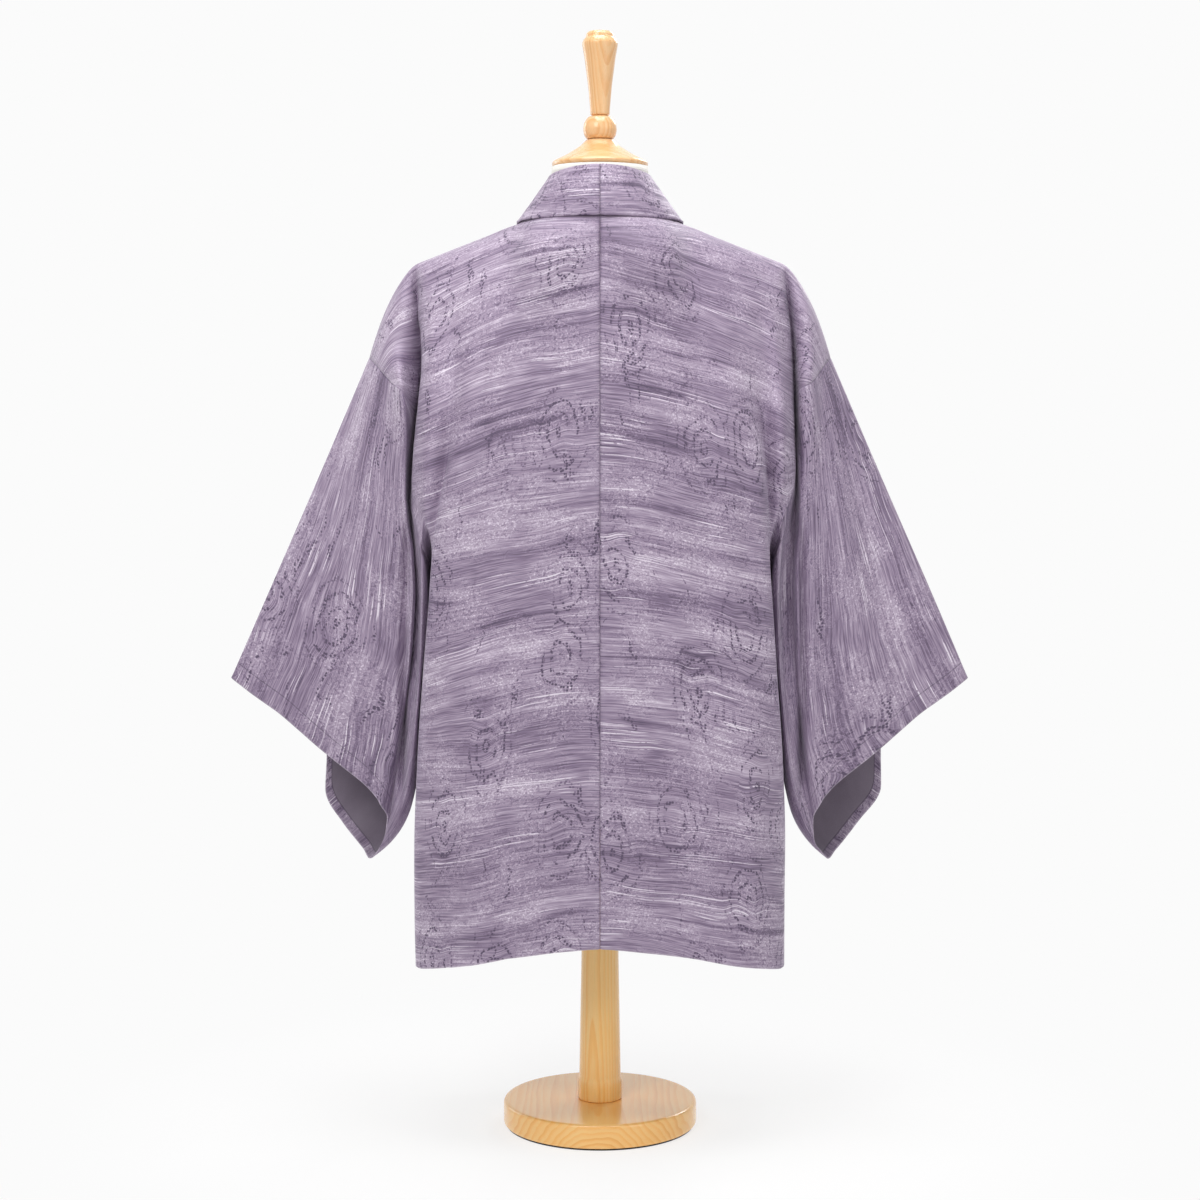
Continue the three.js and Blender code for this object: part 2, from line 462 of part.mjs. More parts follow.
// ---- form and stand ------------------------------------------------------------------
const formTorso = () => {
  const around = 32, zs = divide(TORSO.map((r) => r.z), [1, 1, 1, 2, 1, 1, 1, 1, 1, 1, 2, 2, 1, 1, 1, 1, 1, 1]);
  const pts = [], tris = [];
  zs.forEach((z) => {
    const [a, b, m, p] = torso(z);
    for (let i = 0; i < around; i++) {
      const t = (2 * Math.PI * i) / around, c = Math.cos(t), s = Math.sin(t);
      pts.push([a * Math.sign(c) * Math.abs(c) ** (2 / p), m + b * Math.sign(s) * Math.abs(s) ** (2 / p), z]);
    }
  });
  for (let k = 0; k < zs.length - 1; k++) for (let i = 0; i < around; i++) {
    const a = k * around + i, b = k * around + (i + 1) % around;
    tris.push([a, b, b + around], [a, b + around, a + around]);
  }
  const low = pts.length; pts.push([0, torso(zs[0])[2], zs[0]]);
  const high = pts.length; pts.push([0, torso(zs[zs.length - 1])[2], zs[zs.length - 1]]);
  const lastRow = (zs.length - 1) * around;
  for (let i = 0; i < around; i++) {
    const j = (i + 1) % around;
    tris.push([low, j, i], [high, lastRow + i, lastRow + j]);
  }
  return solid('form_torso', pts, tris, 0xe9e6dd, 0.9);
};
const turned = (name, profile, colour, sides = 28) => {
  const g = new THREE.LatheGeometry(profile.map(([r, z]) => new THREE.Vector2(r, z)), sides);
  g.rotateX(Math.PI / 2);
  const mesh = new THREE.Mesh(g, new THREE.MeshStandardMaterial({ color: colour, roughness: 0.4, metalness: 0 }));
  mesh.name = name;
  return mesh;
};
const WOOD = 0xd9ab6b;

const group = new THREE.Group();
for (const [side, mirror] of [['left', false], ['right', true]]) {
  group.add(bodyPanel(side, mirror), sleeve(side, mirror), gusset(side, mirror), collar(side, mirror));
}
group.add(formTorso());
// finial: cap with a cone, ball, tapered handle
group.add(turned('neck_cap', [[0, 1002.3], [48.2, 1002.3], [49.3, 1003.2], [49.3, 1006.2], [47, 1008.2], [34, 1014.5], [20.5, 1023], [15, 1028.6], [13.6, 1029.8], [0, 1029.8]], WOOD));
group.add(turned('neck_ball', [[0, 1030.1], [13.8, 1030.1], [16.3, 1034], [17.4, 1040], [16.6, 1046], [13.8, 1051], [10.4, 1053.6], [0, 1053.6]], WOOD));
group.add(turned('handle', [[0, 1053.9], [9.9, 1053.9], [10.1, 1060], [12.2, 1084], [16.2, 1114], [18.1, 1124], [18.3, 1127.5], [16.6, 1131.2], [14.2, 1134.2], [13.6, 1137.6], [11.4, 1139.6], [0, 1140]], WOOD));
group.add(turned('column', [[0, BASE_TOP + SEAM], [22.6, BASE_TOP + SEAM], [23.2, 28.4], [23, 48], [21.9, 52], [19.8, 170], [18.6, 240], [17.8, TORSO_BOTTOM - SEAM], [0, TORSO_BOTTOM - SEAM]], WOOD));
group.add(turned('base', [[0, FELT + SEAM], [100.6, FELT + SEAM], [101.9, FELT + 1.6], [BASE_R, 23.4], [101, 25.8], [98.6, BASE_TOP], [0, BASE_TOP]], WOOD, 48));
group.add(turned('base_felt', [[0, 0], [99.5, 0], [99.5, FELT], [0, FELT]], 0x2b2a28, 48));
export default group;
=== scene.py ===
"""The looks of a haori jacket that hangs on a limbless dress form with a turned wooden stand.

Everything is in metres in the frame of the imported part; the garment's tables are in millimetres, as they are in the part's source.
"""

import math

import bpy
import numpy as np
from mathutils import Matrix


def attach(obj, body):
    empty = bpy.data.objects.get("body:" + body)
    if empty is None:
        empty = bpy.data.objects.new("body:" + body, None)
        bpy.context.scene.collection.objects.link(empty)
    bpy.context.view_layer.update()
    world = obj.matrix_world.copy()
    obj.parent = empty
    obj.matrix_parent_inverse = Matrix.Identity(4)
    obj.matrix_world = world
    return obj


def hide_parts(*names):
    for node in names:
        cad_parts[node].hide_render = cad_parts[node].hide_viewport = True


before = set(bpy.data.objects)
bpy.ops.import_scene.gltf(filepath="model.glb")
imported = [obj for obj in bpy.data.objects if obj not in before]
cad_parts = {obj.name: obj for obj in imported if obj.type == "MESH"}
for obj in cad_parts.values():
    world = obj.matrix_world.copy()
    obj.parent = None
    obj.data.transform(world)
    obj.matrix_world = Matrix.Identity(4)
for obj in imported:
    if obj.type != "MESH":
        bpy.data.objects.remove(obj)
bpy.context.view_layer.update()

# ---- the garment's tables, the same as the part's, in millimetres -------------------
CLOTH, BAND, LAP, REST = 1.2, 2.4, 3.0, 2.9
NECK_X, SIDE_X, DROOP = 84.5, 190.0, 1.6
EDGE = 0.04  # half of the gap between sewn pieces
TORSO = np.array([
    [330, 138, 86, 0, 2.1], [336, 150, 97, 0, 2.1], [375, 159, 104, 0, 2.1], [440, 158, 103, 0, 2.1],
    [530, 138, 92, 0, 2.1], [610, 127, 86, 0, 2.1], [690, 141, 93, 0, 2.15], [760, 160, 97, 0, 2.2],
    [815, 176, 90, 2, 2.2], [850, 184, 80, 4, 2.15], [875, 182, 68, 4, 2.1], [893, 166, 57, 4, 2.0],
    [910, 136, 52, 4, 2.0], [924, 102, 51, 4, 2.0], [936, 76, 53, 3, 2.0], [949, 60, 53, 2, 2.0],
    [966, 52.5, 51, 1, 2.0], [985, 50, 50, 0, 2.0], [1002, 49.6, 49.6, 0, 2.0]], float)
# z drop c n mx my ex ey fx fy sx sy vx vy
BACK = {
    "left": np.array([
        [946, 0, 75, 0, 118, 0, 152, 0, 168, 0, 182, 0, 194, 0],
        [922, 52, 84, 66, 116, 54, 146, 42, 160, 35, 177, 27, 193, 13],
        [884, 62, 95, 88, 114, 80, 138, 68, 152, 60, 174, 45, 193, 12],
        [838, 60, 105, 101, 110, 97, 134, 86, 149, 77, 172, 66, 194, 16],
        [790, 56, 111, 109, 108, 107, 136, 98, 151, 87, 172, 84, 195, 24],
        [738, 52, 115, 114, 112, 112, 148, 101, 153, 86, 174, 88, 190, 58],
        [690, 46, 117, 117, 118, 114, 158, 98, 162, 86, 173, 87, 178, 82],
        [640, 42, 118, 118, 122, 115, 166, 93, 168, 83, 169.5, 66, 170.5, 42],
        [592, 40, 119, 119, 124, 115, 170, 90, 172, 78, 171, 60, 171, 38],
        [530, 38, 119, 120, 126, 116, 176.5, 88, 178, 74, 178, 58, 178, 40],
        [430, 35, 120, 121, 128, 117, 184, 80, 185.5, 68, 186, 56, 186, 44],
        [330, 33, 121, 122, 130, 117, 186.5, 74, 189, 62, 189.6, 54, 190, 44],
        [262, 31, 121, 122, 130, 117, 186.5, 74, 189, 62, 189.6, 54, 190, 44],
        [213.7, 31, 121, 122, 130, 117, 184, 78, 188.4, 63, 189.4, 54, 189.8, 44]], float),
    "right": np.array([
        [946, 0, 75, 0, 118, 0, 152, 0, 168, 0, 182, 0, 194, 0],
        [922, 52, 84, 66, 116, 54, 146, 42, 160, 34, 177, 27, 195, 16],
        [884, 62, 95, 88, 114, 80, 138, 69, 154, 58, 175, 46, 197, 20],
        [838, 60, 105, 101, 112, 96, 140, 84, 158, 68, 177, 64, 198, 24],
        [790, 56, 111, 109, 116, 106, 148, 96, 164, 66, 179, 78, 198, 30],
        [738, 52, 115, 114, 120, 112, 160, 99, 168, 66, 180, 80, 193, 58],
        [690, 46, 117, 117, 122, 114, 165, 97, 170, 74, 177, 78, 181, 74],
        [640, 42, 118, 118, 124, 115, 168, 93, 170, 80, 170.5, 64, 171, 42],
        [592, 40, 119, 119, 124, 115, 172, 92, 173, 78, 172, 60, 171, 38],
        [530, 38, 119, 120, 126, 116, 176.5, 88, 178, 74, 178, 58, 178, 40],
        [430, 35, 120, 121, 128, 117, 184, 80, 185.5, 68, 186, 56, 186, 44],
        [330, 33, 121, 122, 130, 117, 186.5, 74, 189, 62, 189.6, 54, 190, 44],
        [262, 31, 121, 122, 130, 117, 186.5, 74, 189, 62, 189.6, 54, 190, 44],
        [213.7, 31, 121, 122, 130, 117, 184, 78, 188.4, 63, 189.4, 54, 189.8, 44]], float),
}
# z drop nx n mx my ex ey fx fy sx sy vx vy
FRONT = np.array([
    [946, 0, NECK_X, 0, 118, 0, 152, 0, 168, 0, 182, 0, 194, 0],
    [926, 52, 85, -44, 117, -38, 148, -32, 163, -27, 179, -20, 194, -11],
    [888, 60, 86, -78, 116, -72, 146, -60, 162, -50, 178, -36, 193, -17],
    [840, 58, 86.5, -99, 116, -94, 146, -80, 160, -68, 176, -54, 192, -27],
    [790, 54, 87, -110, 116, -106, 148, -94, 162, -82, 175, -70, 190, -40],
    [738, 50, 87, -115, 118, -112, 150, -101, 164, -90, 176, -78, 187, -60],
    [690, 46, 87.5, -117, 122, -114, 157, -101, 166, -92, 173, -84, 178, -76],
    [640, 42, 87.5, -118, 124, -115, 163, -97, 168, -85, 170, -66, 170.5, -42],
    [592, 40, 88, -118, 126, -115, 168, -94, 171, -78, 171, -60, 171, -38],
    [530, 38, 88, -119, 128, -116, 174, -92, 177, -76, 178, -60, 178, -42],
    [430, 35, 88, -120, 130, -117, 180, -90, 185, -74, 186, -60, 186, -44],
    [330, 33, 88, -121, 130, -117, 184, -88, 188.6, -73, 189.6, -60, 190, -46],
    [262, 31, 88, -121, 130, -117, 184, -88, 188.6, -73, 189.6, -60, 190, -46],
    [213.7, 31, 88, -121, 130, -117, 184, -88, 188.6, -73, 189.6, -60, 190, -46]], float)
UNDERARM = 7
SIDE = [(171, 11), (177.5, 17), (186, 23), (190.4, 28), (190.6, 31), (190.2, 33)]
STATIONS = [0, 0.4, 0.75, 1]
# fold lines of a sleeve: top, lip, pleat, roll, under, bottom, then the front's; four stations each
SLEEVE = {
    "left": np.array([
        [238, 0, 807, 296, 0, 674, 348, 0, 557, 385, 0, 474],
        [200, 54, 768, 198, 60, 600, 206, 55, 440, 228, 41, 350],
        [197, 42, 694, 199, 30, 575, 207, 36, 420, 221, 30, 331],
        [181, 75, 623, 185, 68, 545, 196, 60, 392, 225, 18, 308],
        [174, 10, 590, 184, 32, 520, 195, 28, 352, 234, 7, 291],
        [174, 0, 589, 185, 0, 512, 197, 4, 346, 242, 0, 283],
        [174, -10, 590, 184, -30, 520, 200, -30, 356, 251, -22, 290],
        [181, -64, 625, 187, -64, 560, 209, -58, 402, 275, -42, 315],
        [195, -50, 694, 199, -50, 610, 226, -52, 445, 293, -45, 350],
        [203, -52, 752, 213, -58, 645, 243, -55, 486, 291, -44, 391]], float).reshape(10, 4, 3),
    "right": np.array([
        [238, 0, 807, 296, 0, 674, 348, 0, 557, 384, 0, 474],
        [203, 52, 766, 205, 58, 600, 210, 54, 440, 229, 42, 351],
        [200, 44, 700, 202, 34, 575, 208, 44, 420, 221, 30, 331],
        [184, 72, 640, 188, 62, 545, 197, 56, 392, 223, 18, 308],
        [174, 10, 590, 184, 32, 520, 195, 28, 352, 232, 7, 291],
        [174, 0, 589, 185, 0, 512, 197, 4, 346, 240, 0, 283],
        [174, -10, 590, 184, -30, 520, 200, -30, 356, 251, -22, 290],
        [181, -64, 625, 187, -64, 560, 209, -58, 402, 277, -43, 317],
        [195, -50, 694, 199, -50, 610, 226, -52, 445, 300, -46, 354],
        [203, -52, 752, 213, -58, 645, 243, -55, 486, 299, -44, 396]], float).reshape(10, 4, 3),
}
SPREAD, ROUND, CUFF_ARCH = [0.1, 0.32, 0.65], 0.7, 6.0
NECK = np.array([
    [0, 0, 75, 947, 0, 58, 999], [0.36, 30, 71, 946.6, 21, 53, 997.6], [0.72, 60, 50, 945.5, 41, 35, 994],
    [0.93, 78, 24, 944.4, 51, 16, 990.5], [1, NECK_X, 0, 943.6, 54.5, -6, 984]], float)
BAND_EDGE = np.array([
    [54, 6, 48], [52, 8, 38], [46, 3, 29], [39, -1, 14], [33, -2, 5], [30, -3, 3], [29, -3, 3],
    [28, -3, 3], [28, -3, 3], [28, -3, 3], [28, -2.5, 3], [28, -2.5, 3], [28, -2.5, 3], [28, -2.5, 3]], float)
COLS = np.array([0, 8, 11.5, 15, 16.6, 18.6, 20.6, 22.4, 24.4])
NECK_C, LAST_C = COLS[1], COLS[-1]


# ---- curves ---------------------------------------------------------------------------
def pchip(k, v, x):
    """Monotone cubic through values v (first axis) at knots k, at x."""
    k, v, x = np.asarray(k, float), np.asarray(v, float), np.asarray(x, float)
    rest = v.shape[1:]
    v = v.reshape(len(k), -1)
    h = np.diff(k)[:, None]
    d = np.diff(v, axis=0) / h
    m = np.zeros_like(v)
    a, b = 2 * h[1:] + h[:-1], h[1:] + 2 * h[:-1]
    with np.errstate(divide="ignore", invalid="ignore"):
        w = (a + b) / (a / d[:-1] + b / d[1:])
    m[1:-1] = np.where(d[:-1] * d[1:] > 0, w, 0)
    for at, h0, h1, d0, d1 in ((0, h[0], h[1], d[0], d[1]), (-1, h[-1], h[-2], d[-1], d[-2])):
        e = ((2 * h0 + h1) * d0 - h0 * d1) / (h0 + h1)
        e = np.where(e * d0 <= 0, 0, np.where((d0 * d1 < 0) & (abs(e) > 3 * abs(d0)), 3 * d0, e))
        m[at] = e
    i = np.searchsorted(k[1:-1], x, side="left")
    t = ((x - k[i]) / h[i, 0])[:, None]
    t2, t3 = t * t, t * t * t
    out = (v[i] * (2 * t3 - 3 * t2 + 1) + h[i] * m[i] * (t3 - 2 * t2 + t)
           + v[i + 1] * (3 * t2 - 2 * t3) + h[i] * m[i + 1] * (t3 - t2))
    return out.reshape((len(x),) + rest)


def net_at(rk, ck, net, r, c):
    """Surface through net[row, column, xyz]; a point for each r and each c."""
    lines = pchip(ck, np.swapaxes(net, 0, 1), c)  # (c, rows, 3)
    return pchip(rk, np.swapaxes(lines, 0, 1), r)  # (r, c, 3)


def fine(knots, steps):
    out = [knots[0]]
    for a, b, n in zip(knots[:-1], knots[1:], steps):
        out += list(a + (b - a) * np.arange(1, n + 1) / n)
    return np.array(out)


def unit(v):
    return v / np.maximum(np.linalg.norm(v, axis=-1, keepdims=True), 1e-9)


def smoothstep(t):
    t = np.clip(t, 0, 1)
    return t * t * (3 - 2 * t)


def torso_at(z):
    return pchip(TORSO[:, 0], TORSO[:, 1:], np.clip(z, TORSO[0, 0], TORSO[-1, 0])).T


def off_form(p, rest=REST):
    """Points pushed out of the form's sections, softly."""
    flat = p.reshape(-1, 3).copy()
    a, b, m, w = torso_at(flat[:, 2])
    dy = flat[:, 1] - m
    r = (abs(flat[:, 0]) / (a + rest)) ** w + (abs(dy) / (b + rest)) ** w
    k = np.where((r < 1) & (r > 1e-6) & (flat[:, 2] > TORSO[0, 0]) & (flat[:, 2] < TORSO[-1, 0]), np.maximum(r, 1e-6) ** (-1 / w), 1)
    flat[:, 0] *= k
    flat[:, 1] = m + dy * k
    return flat.reshape(p.shape)


def drooped(row, x):
    return row[0] - row[1] * (abs(x) / SIDE_X) ** DROOP


# ---- sleeves ----------------------------------------------------------------------------
def sleeve_net(side):
    p = np.swapaxes(SLEEVE[side], 0, 1)  # station, fold line, xyz
    out = []
    for s, q in enumerate(p):
        arch = CUFF_ARCH if s == 3 else 0

        def spread(e):
            pts = []
            for f in SPREAD:
                m = q[0] + (e - q[0]) * f
                m[1] = e[1] * f ** ROUND
                m[2] += arch * math.sin(math.pi * f)
                pts.append(m)
            return pts
        out.append([q[0], *spread(q[1]), *q[1:10], *reversed(spread(q[9])), q[0]])
    return np.array(out)


class Loop:
    def __init__(self, side):
        net = sleeve_net(side)
        n = net.shape[1] - 1
        step = np.maximum(1, np.linalg.norm(np.diff(net[1], axis=0), axis=1))
        self.knots = np.concatenate([[0], np.cumsum(step)])
        self.total = self.knots[-1]
        idx = np.arange(-3, n + 4)
        self.pk = self.knots[idx % n] + self.total * (idx // n)
        self.net = net[:, idx % n]

    def at(self, s, t):
        return net_at(STATIONS, self.pk, self.net, np.atleast_1d(s), np.atleast_1d(t))


# ---- body panels ------------------------------------------------------------------------
class Panel:
    def __init__(self, side, front):
        self.front = front
        self.rows = FRONT if front else BACK[side]
        zk = list(self.rows[0, 0] - self.rows[:, 0])
        zk.insert(1, zk[1] / 2)
        self.zk = np.array(zk)
        self.loop = Loop(side)
        self.foot = self.zk[UNDERARM + 1]
        self.net = self.make_net(side)

    def make_net(self, side):
        front, sign = self.front, -1 if self.front else 1
        seam = sleeve_net(side)[0]
        net = []
        for k, r in enumerate(self.rows):
            def at(x, y):
                return np.array([x, y, drooped(r, x)])
            if k <= UNDERARM:
                last = seam[(16 - k) % 16 if front else k]
            else:
                x, half = SIDE[k - UNDERARM - 1]
                last = np.array([x, sign * half, drooped(r, x)])
            first = at(r[2] - LAP, r[3]) if front else at(0, r[2])
            if k == 0:
                def ridge(x):
                    return np.array([x, 0, 943.6 + (902 - 943.6) * (x - NECK_X) / (195 - NECK_X)])
                net.append([first, np.array([NECK_X, 0, 943.6]), ridge(r[4]), ridge(r[6]), ridge(r[8]), ridge(r[10]),
                            np.array([194, 0, 901.0]), np.array([216, 0, 868.0]), last])
                continue
            v = at(r[12], r[13])
            beside = (v + last) / 2
            if k <= 3:
                beside[1] = sign * (max(abs(last[1]), abs(v[1])) + 5)
                beside[2] += 17 - 4 * k
            neck = at(r[2], r[3]) if front else at(NECK_X, r[3])
            net.append([first, neck, at(r[4], r[5]), at(r[6], r[7]), at(r[8], r[9]), at(r[10], r[11]), v, beside, last])
        net = np.array(net)
        arch = np.array([0, 8, 8, 7.5, 7, 6, 4, 3, 0])
        p, q = net[0], net[1]
        m, dy, dz = (p + q) / 2, q[:, 1] - p[:, 1], q[:, 2] - p[:, 2]
        ln = np.maximum(np.hypot(dy, dz), 1e-6)
        m[:, 1] -= arch * dz * sign / ln
        m[:, 2] += arch * abs(dy) / ln
        return np.insert(net, 1, m, axis=0)

    def on_loop(self, r):
        k = np.interp(r, self.zk[:UNDERARM + 2], [0, 0.5, 1, 2, 3, 4, 5, 6, 7])
        return np.interp(16 - k if self.front else k, np.arange(17), self.loop.knots)

    def at(self, r, c):
        r, c = np.atleast_1d(r).astype(float), np.atleast_1d(c).astype(float)
        p = net_at(self.zk, COLS, self.net, r, c)
        up = r <= self.foot + 1e-9
        if up.any():
            want = self.loop.at(0, self.on_loop(r[up]))[0]
            have = net_at(self.zk, COLS, self.net, r[up], [LAST_C])[:, 0]
            w = np.where(c < COLS[5], 0, ((c - COLS[5]) / (LAST_C - COLS[5])) ** 2)
            p[up] += w[None, :, None] * (want - have)[:, None, :]
        return p


# ---- sheets: points, quads, neighbours --------------------------------------------------
class Sheet:
    """An open sheet of quads. grid holds each point's index, -1 where there is no cloth."""

    def __init__(self, points, uv, grid, closed=False, flip=False):
        self.p, self.uv, self.grid, self.closed = points, uv, grid, closed
        g = np.concatenate([grid, grid[:, :1]], 1) if closed else grid
        a, b, c, d = g[:-1, :-1], g[:-1, 1:], g[1:, 1:], g[1:, :-1]
        ok = (a >= 0) & (b >= 0) & (c >= 0) & (d >= 0)
        q = np.stack([a, d, c, b], -1)[ok]
        self.quads = q[:, ::-1] if flip else q
        # Cloth coordinates at each quad's corners, where a closed loop has its own at the join.
        if closed:
            gu = np.arange(g.size).reshape(g.shape)
            qu = np.stack([gu[:-1, :-1], gu[1:, :-1], gu[1:, 1:], gu[:-1, 1:]], -1)[ok]
            self.quad_uv = uv.reshape(-1, uv.shape[-1])[qu[:, ::-1] if flip else qu]
        else:
            self.quad_uv = uv[self.quads]

    def normals(self):
        p, q = self.p, self.quads
        n = np.cross(p[q[:, 2]] - p[q[:, 0]], p[q[:, 3]] - p[q[:, 1]])
        out = np.zeros_like(p)
        for j in range(4):
            np.add.at(out, q[:, j], n)
        return unit(out)

    def around(self, iterations, strength=0.5, hold=None):
        """Evens the sheet out: soft cloth has no sharp change of slope. Edge points slide along nothing and stay."""
        g = np.pad(self.grid, 1, constant_values=-1)
        if self.closed:
            g[1:-1, 0], g[1:-1, -1] = self.grid[:, -1], self.grid[:, 0]
        inner = self.grid >= 0
        near = [g[:-2, 1:-1], g[2:, 1:-1], g[1:-1, :-2], g[1:-1, 2:]]
        full = inner & np.all([x >= 0 for x in near], 0)
        me = self.grid[full]
        if hold is not None:
            keep = ~hold[me]
            me = me[keep]
        sel = [x[full] for x in near]
        if hold is not None:
            sel = [x[keep] for x in sel]
        for _ in range(iterations):
            self.p[me] += strength * ((self.p[sel[0]] + self.p[sel[1]] + self.p[sel[2]] + self.p[sel[3]]) / 4 - self.p[me])


def bumps(u, v, seed, scale_u, scale_v, count=40):
    """Smooth, uneven, seeded undulation about zero, as a sum of waves in random directions."""
    rng = np.random.default_rng(seed)
    out = np.zeros_like(u)
    for _ in range(count):
        a, b = rng.normal(0, 1 / scale_u), rng.normal(0, 1 / scale_v)
        out += math.sqrt(2 / count) * np.sin(u * a + v * b + rng.uniform(0, 2 * math.pi))
    return out


def steps_for(net_rows, size, least=2):
    length = np.linalg.norm(np.diff(net_rows, axis=0), axis=2)[:, 1:6].mean(1)
    return [max(least, int(round(v / size))) for v in length]


def body_sheet(side):
    back, front = Panel(side, False), Panel(side, True)
    size = 2.75
    rb, rf = fine(back.zk, steps_for(back.net, size)), fine(front.zk, steps_for(front.net, size))
    cs = [24, 11, 10, 7, 9, 9, 9, 9]
    cols = fine(COLS, cs)
    cols = np.sort(np.concatenate([cols, [LAST_C - 0.07]]))
    ncol = int(np.searchsorted(cols, NECK_C))
    B, F = back.at(rb, cols), front.at(rf, cols[ncol:])
    # round the back of the neck the cloth runs on a little above the band's lower line
    f = cols[:ncol] / NECK_C
    line = pchip(NECK[:, 0], NECK[:, 1:4], f)
    stem, edge = B[:, 0], back.at(rb, [NECK_C])[:, 0]
    fade = np.maximum(0, 1 - rb / back.zk[4])[:, None, None]
    near = line[None] + ((stem - stem[0])[:, None] * (1 - f)[None, :, None] + (edge - edge[0])[:, None] * f[None, :, None])
    w = fade * fade * (3 - 2 * fade)
    B[:, :ncol] += (near - B[:, :ncol]) * w
    g = f[:, None]
    k = 1 - (LAP + 2.4 * (1 - g)) / np.hypot(line[:, :1], line[:, 1:2])
    B[0, :ncol] = np.concatenate([line[:, :2] * k, line[:, 2:] + LAP * (0.8 - 0.4 * g ** 4)], 1)
    B[:, 0, 0] = EDGE
    F[1:, 0, 0] -= LAP
    B[0, ncol] = F[0, 0] = (NECK_X - LAP, 0, 944.8)
    nb, nf, nc = len(rb), len(rf), len(cols)
    grid = -np.ones((nb + nf - 1, nc), int)
    # rows from the back's hem over the shoulder to the front's hem
    pts = [B[::-1].reshape(-1, 3), F[1:].reshape(-1, 3)]
    grid[:nb] = np.arange(nb * nc).reshape(nb, nc)
    grid[nb:, ncol:] = nb * nc + np.arange((nf - 1) * (nc - ncol)).reshape(nf - 1, nc - ncol)
    P = off_form(np.concatenate(pts))
    s = Sheet(P, np.zeros((len(P), 2)), grid)
    seam_rows_b = np.where(rb <= back.foot + 1e-6)[0]
    seam_rows_f = np.where(rf <= front.foot + 1e-6)[0]
    s.armhole_back = grid[nb - 1 - seam_rows_b, -1]          # from the ridge down the back
    s.armhole_front = np.concatenate([[grid[nb - 1, -1]], grid[nb - 1 + seam_rows_f[1:], -1]])
    s.side_back = grid[nb - 1 - np.where(rb >= back.zk[UNDERARM + 2] - 1e-6)[0], -1]
    s.side_front = grid[nb - 1 + np.where(rf >= front.zk[UNDERARM + 2] - 1e-6)[0], -1]
    s.rb, s.rf, s.cols, s.ncol, s.back, s.front, s.nb = rb, rf, cols, ncol, back, front, nb
    s.t_back, s.t_front = back.on_loop(rb[seam_rows_b]), front.on_loop(rf[seam_rows_f])
    folds(s, side)
    # the deep pleat beside the arm keeps its shape
    cc = np.repeat(cols[None], len(grid), 0)
    rz = np.repeat(np.concatenate([946 - rb[::-1], 946 - rf[1:]])[:, None], nc, 1)
    tight = np.zeros(len(s.p), bool)
    tight[grid[grid >= 0]] = ((cc > 16.0) & (rz > 560) & (rz < 935))[grid >= 0]
    s.around(7)
    s.around(15, hold=tight)
    s.p += pleat(s.p, side, 1.0)
    s.around(2)
    s.p += creases(s.p, side)
    s.p = off_form(s.p)
    s.p[:, 0] = np.maximum(s.p[:, 0], EDGE)
    # cloth coordinates: across from the middle, and down from the shoulder
    full = np.where(grid >= 0, grid, 0)
    step = np.linalg.norm(np.diff(s.p[full], axis=1), axis=2) * ((grid[:, 1:] >= 0) & (grid[:, :-1] >= 0))
    across = np.concatenate([np.zeros((len(grid), 1)), np.cumsum(step, 1)], 1)
    across[nb:] += NECK_X - LAP
    mid = slice(ncol, ncol + 20)
    down = np.linalg.norm(np.diff(s.p[full[:, mid]], axis=0), axis=2).mean(1)
    v = np.concatenate([[0], np.cumsum(down)])
    v -= v[nb - 1]
    V = np.repeat(v[:, None], nc, 1)
    uv = np.zeros((len(s.p), 4))
    ok = grid >= 0
    uv[grid[ok], 0] = across[ok]
    uv[grid[ok], 1] = V[ok]
    uv[grid[ok], 2] = np.minimum(V - V[0, 0], V[-1, 0] - V)[ok]      # from the hem
    seam_d = np.minimum(across, np.where(np.arange(nc)[None] > ncol + 20, across[:, -1:] - across, 1e3))
    uv[grid[ok], 3] = seam_d[ok]
    s.uv = uv
    s.quad_uv = uv[s.quads]
    return s


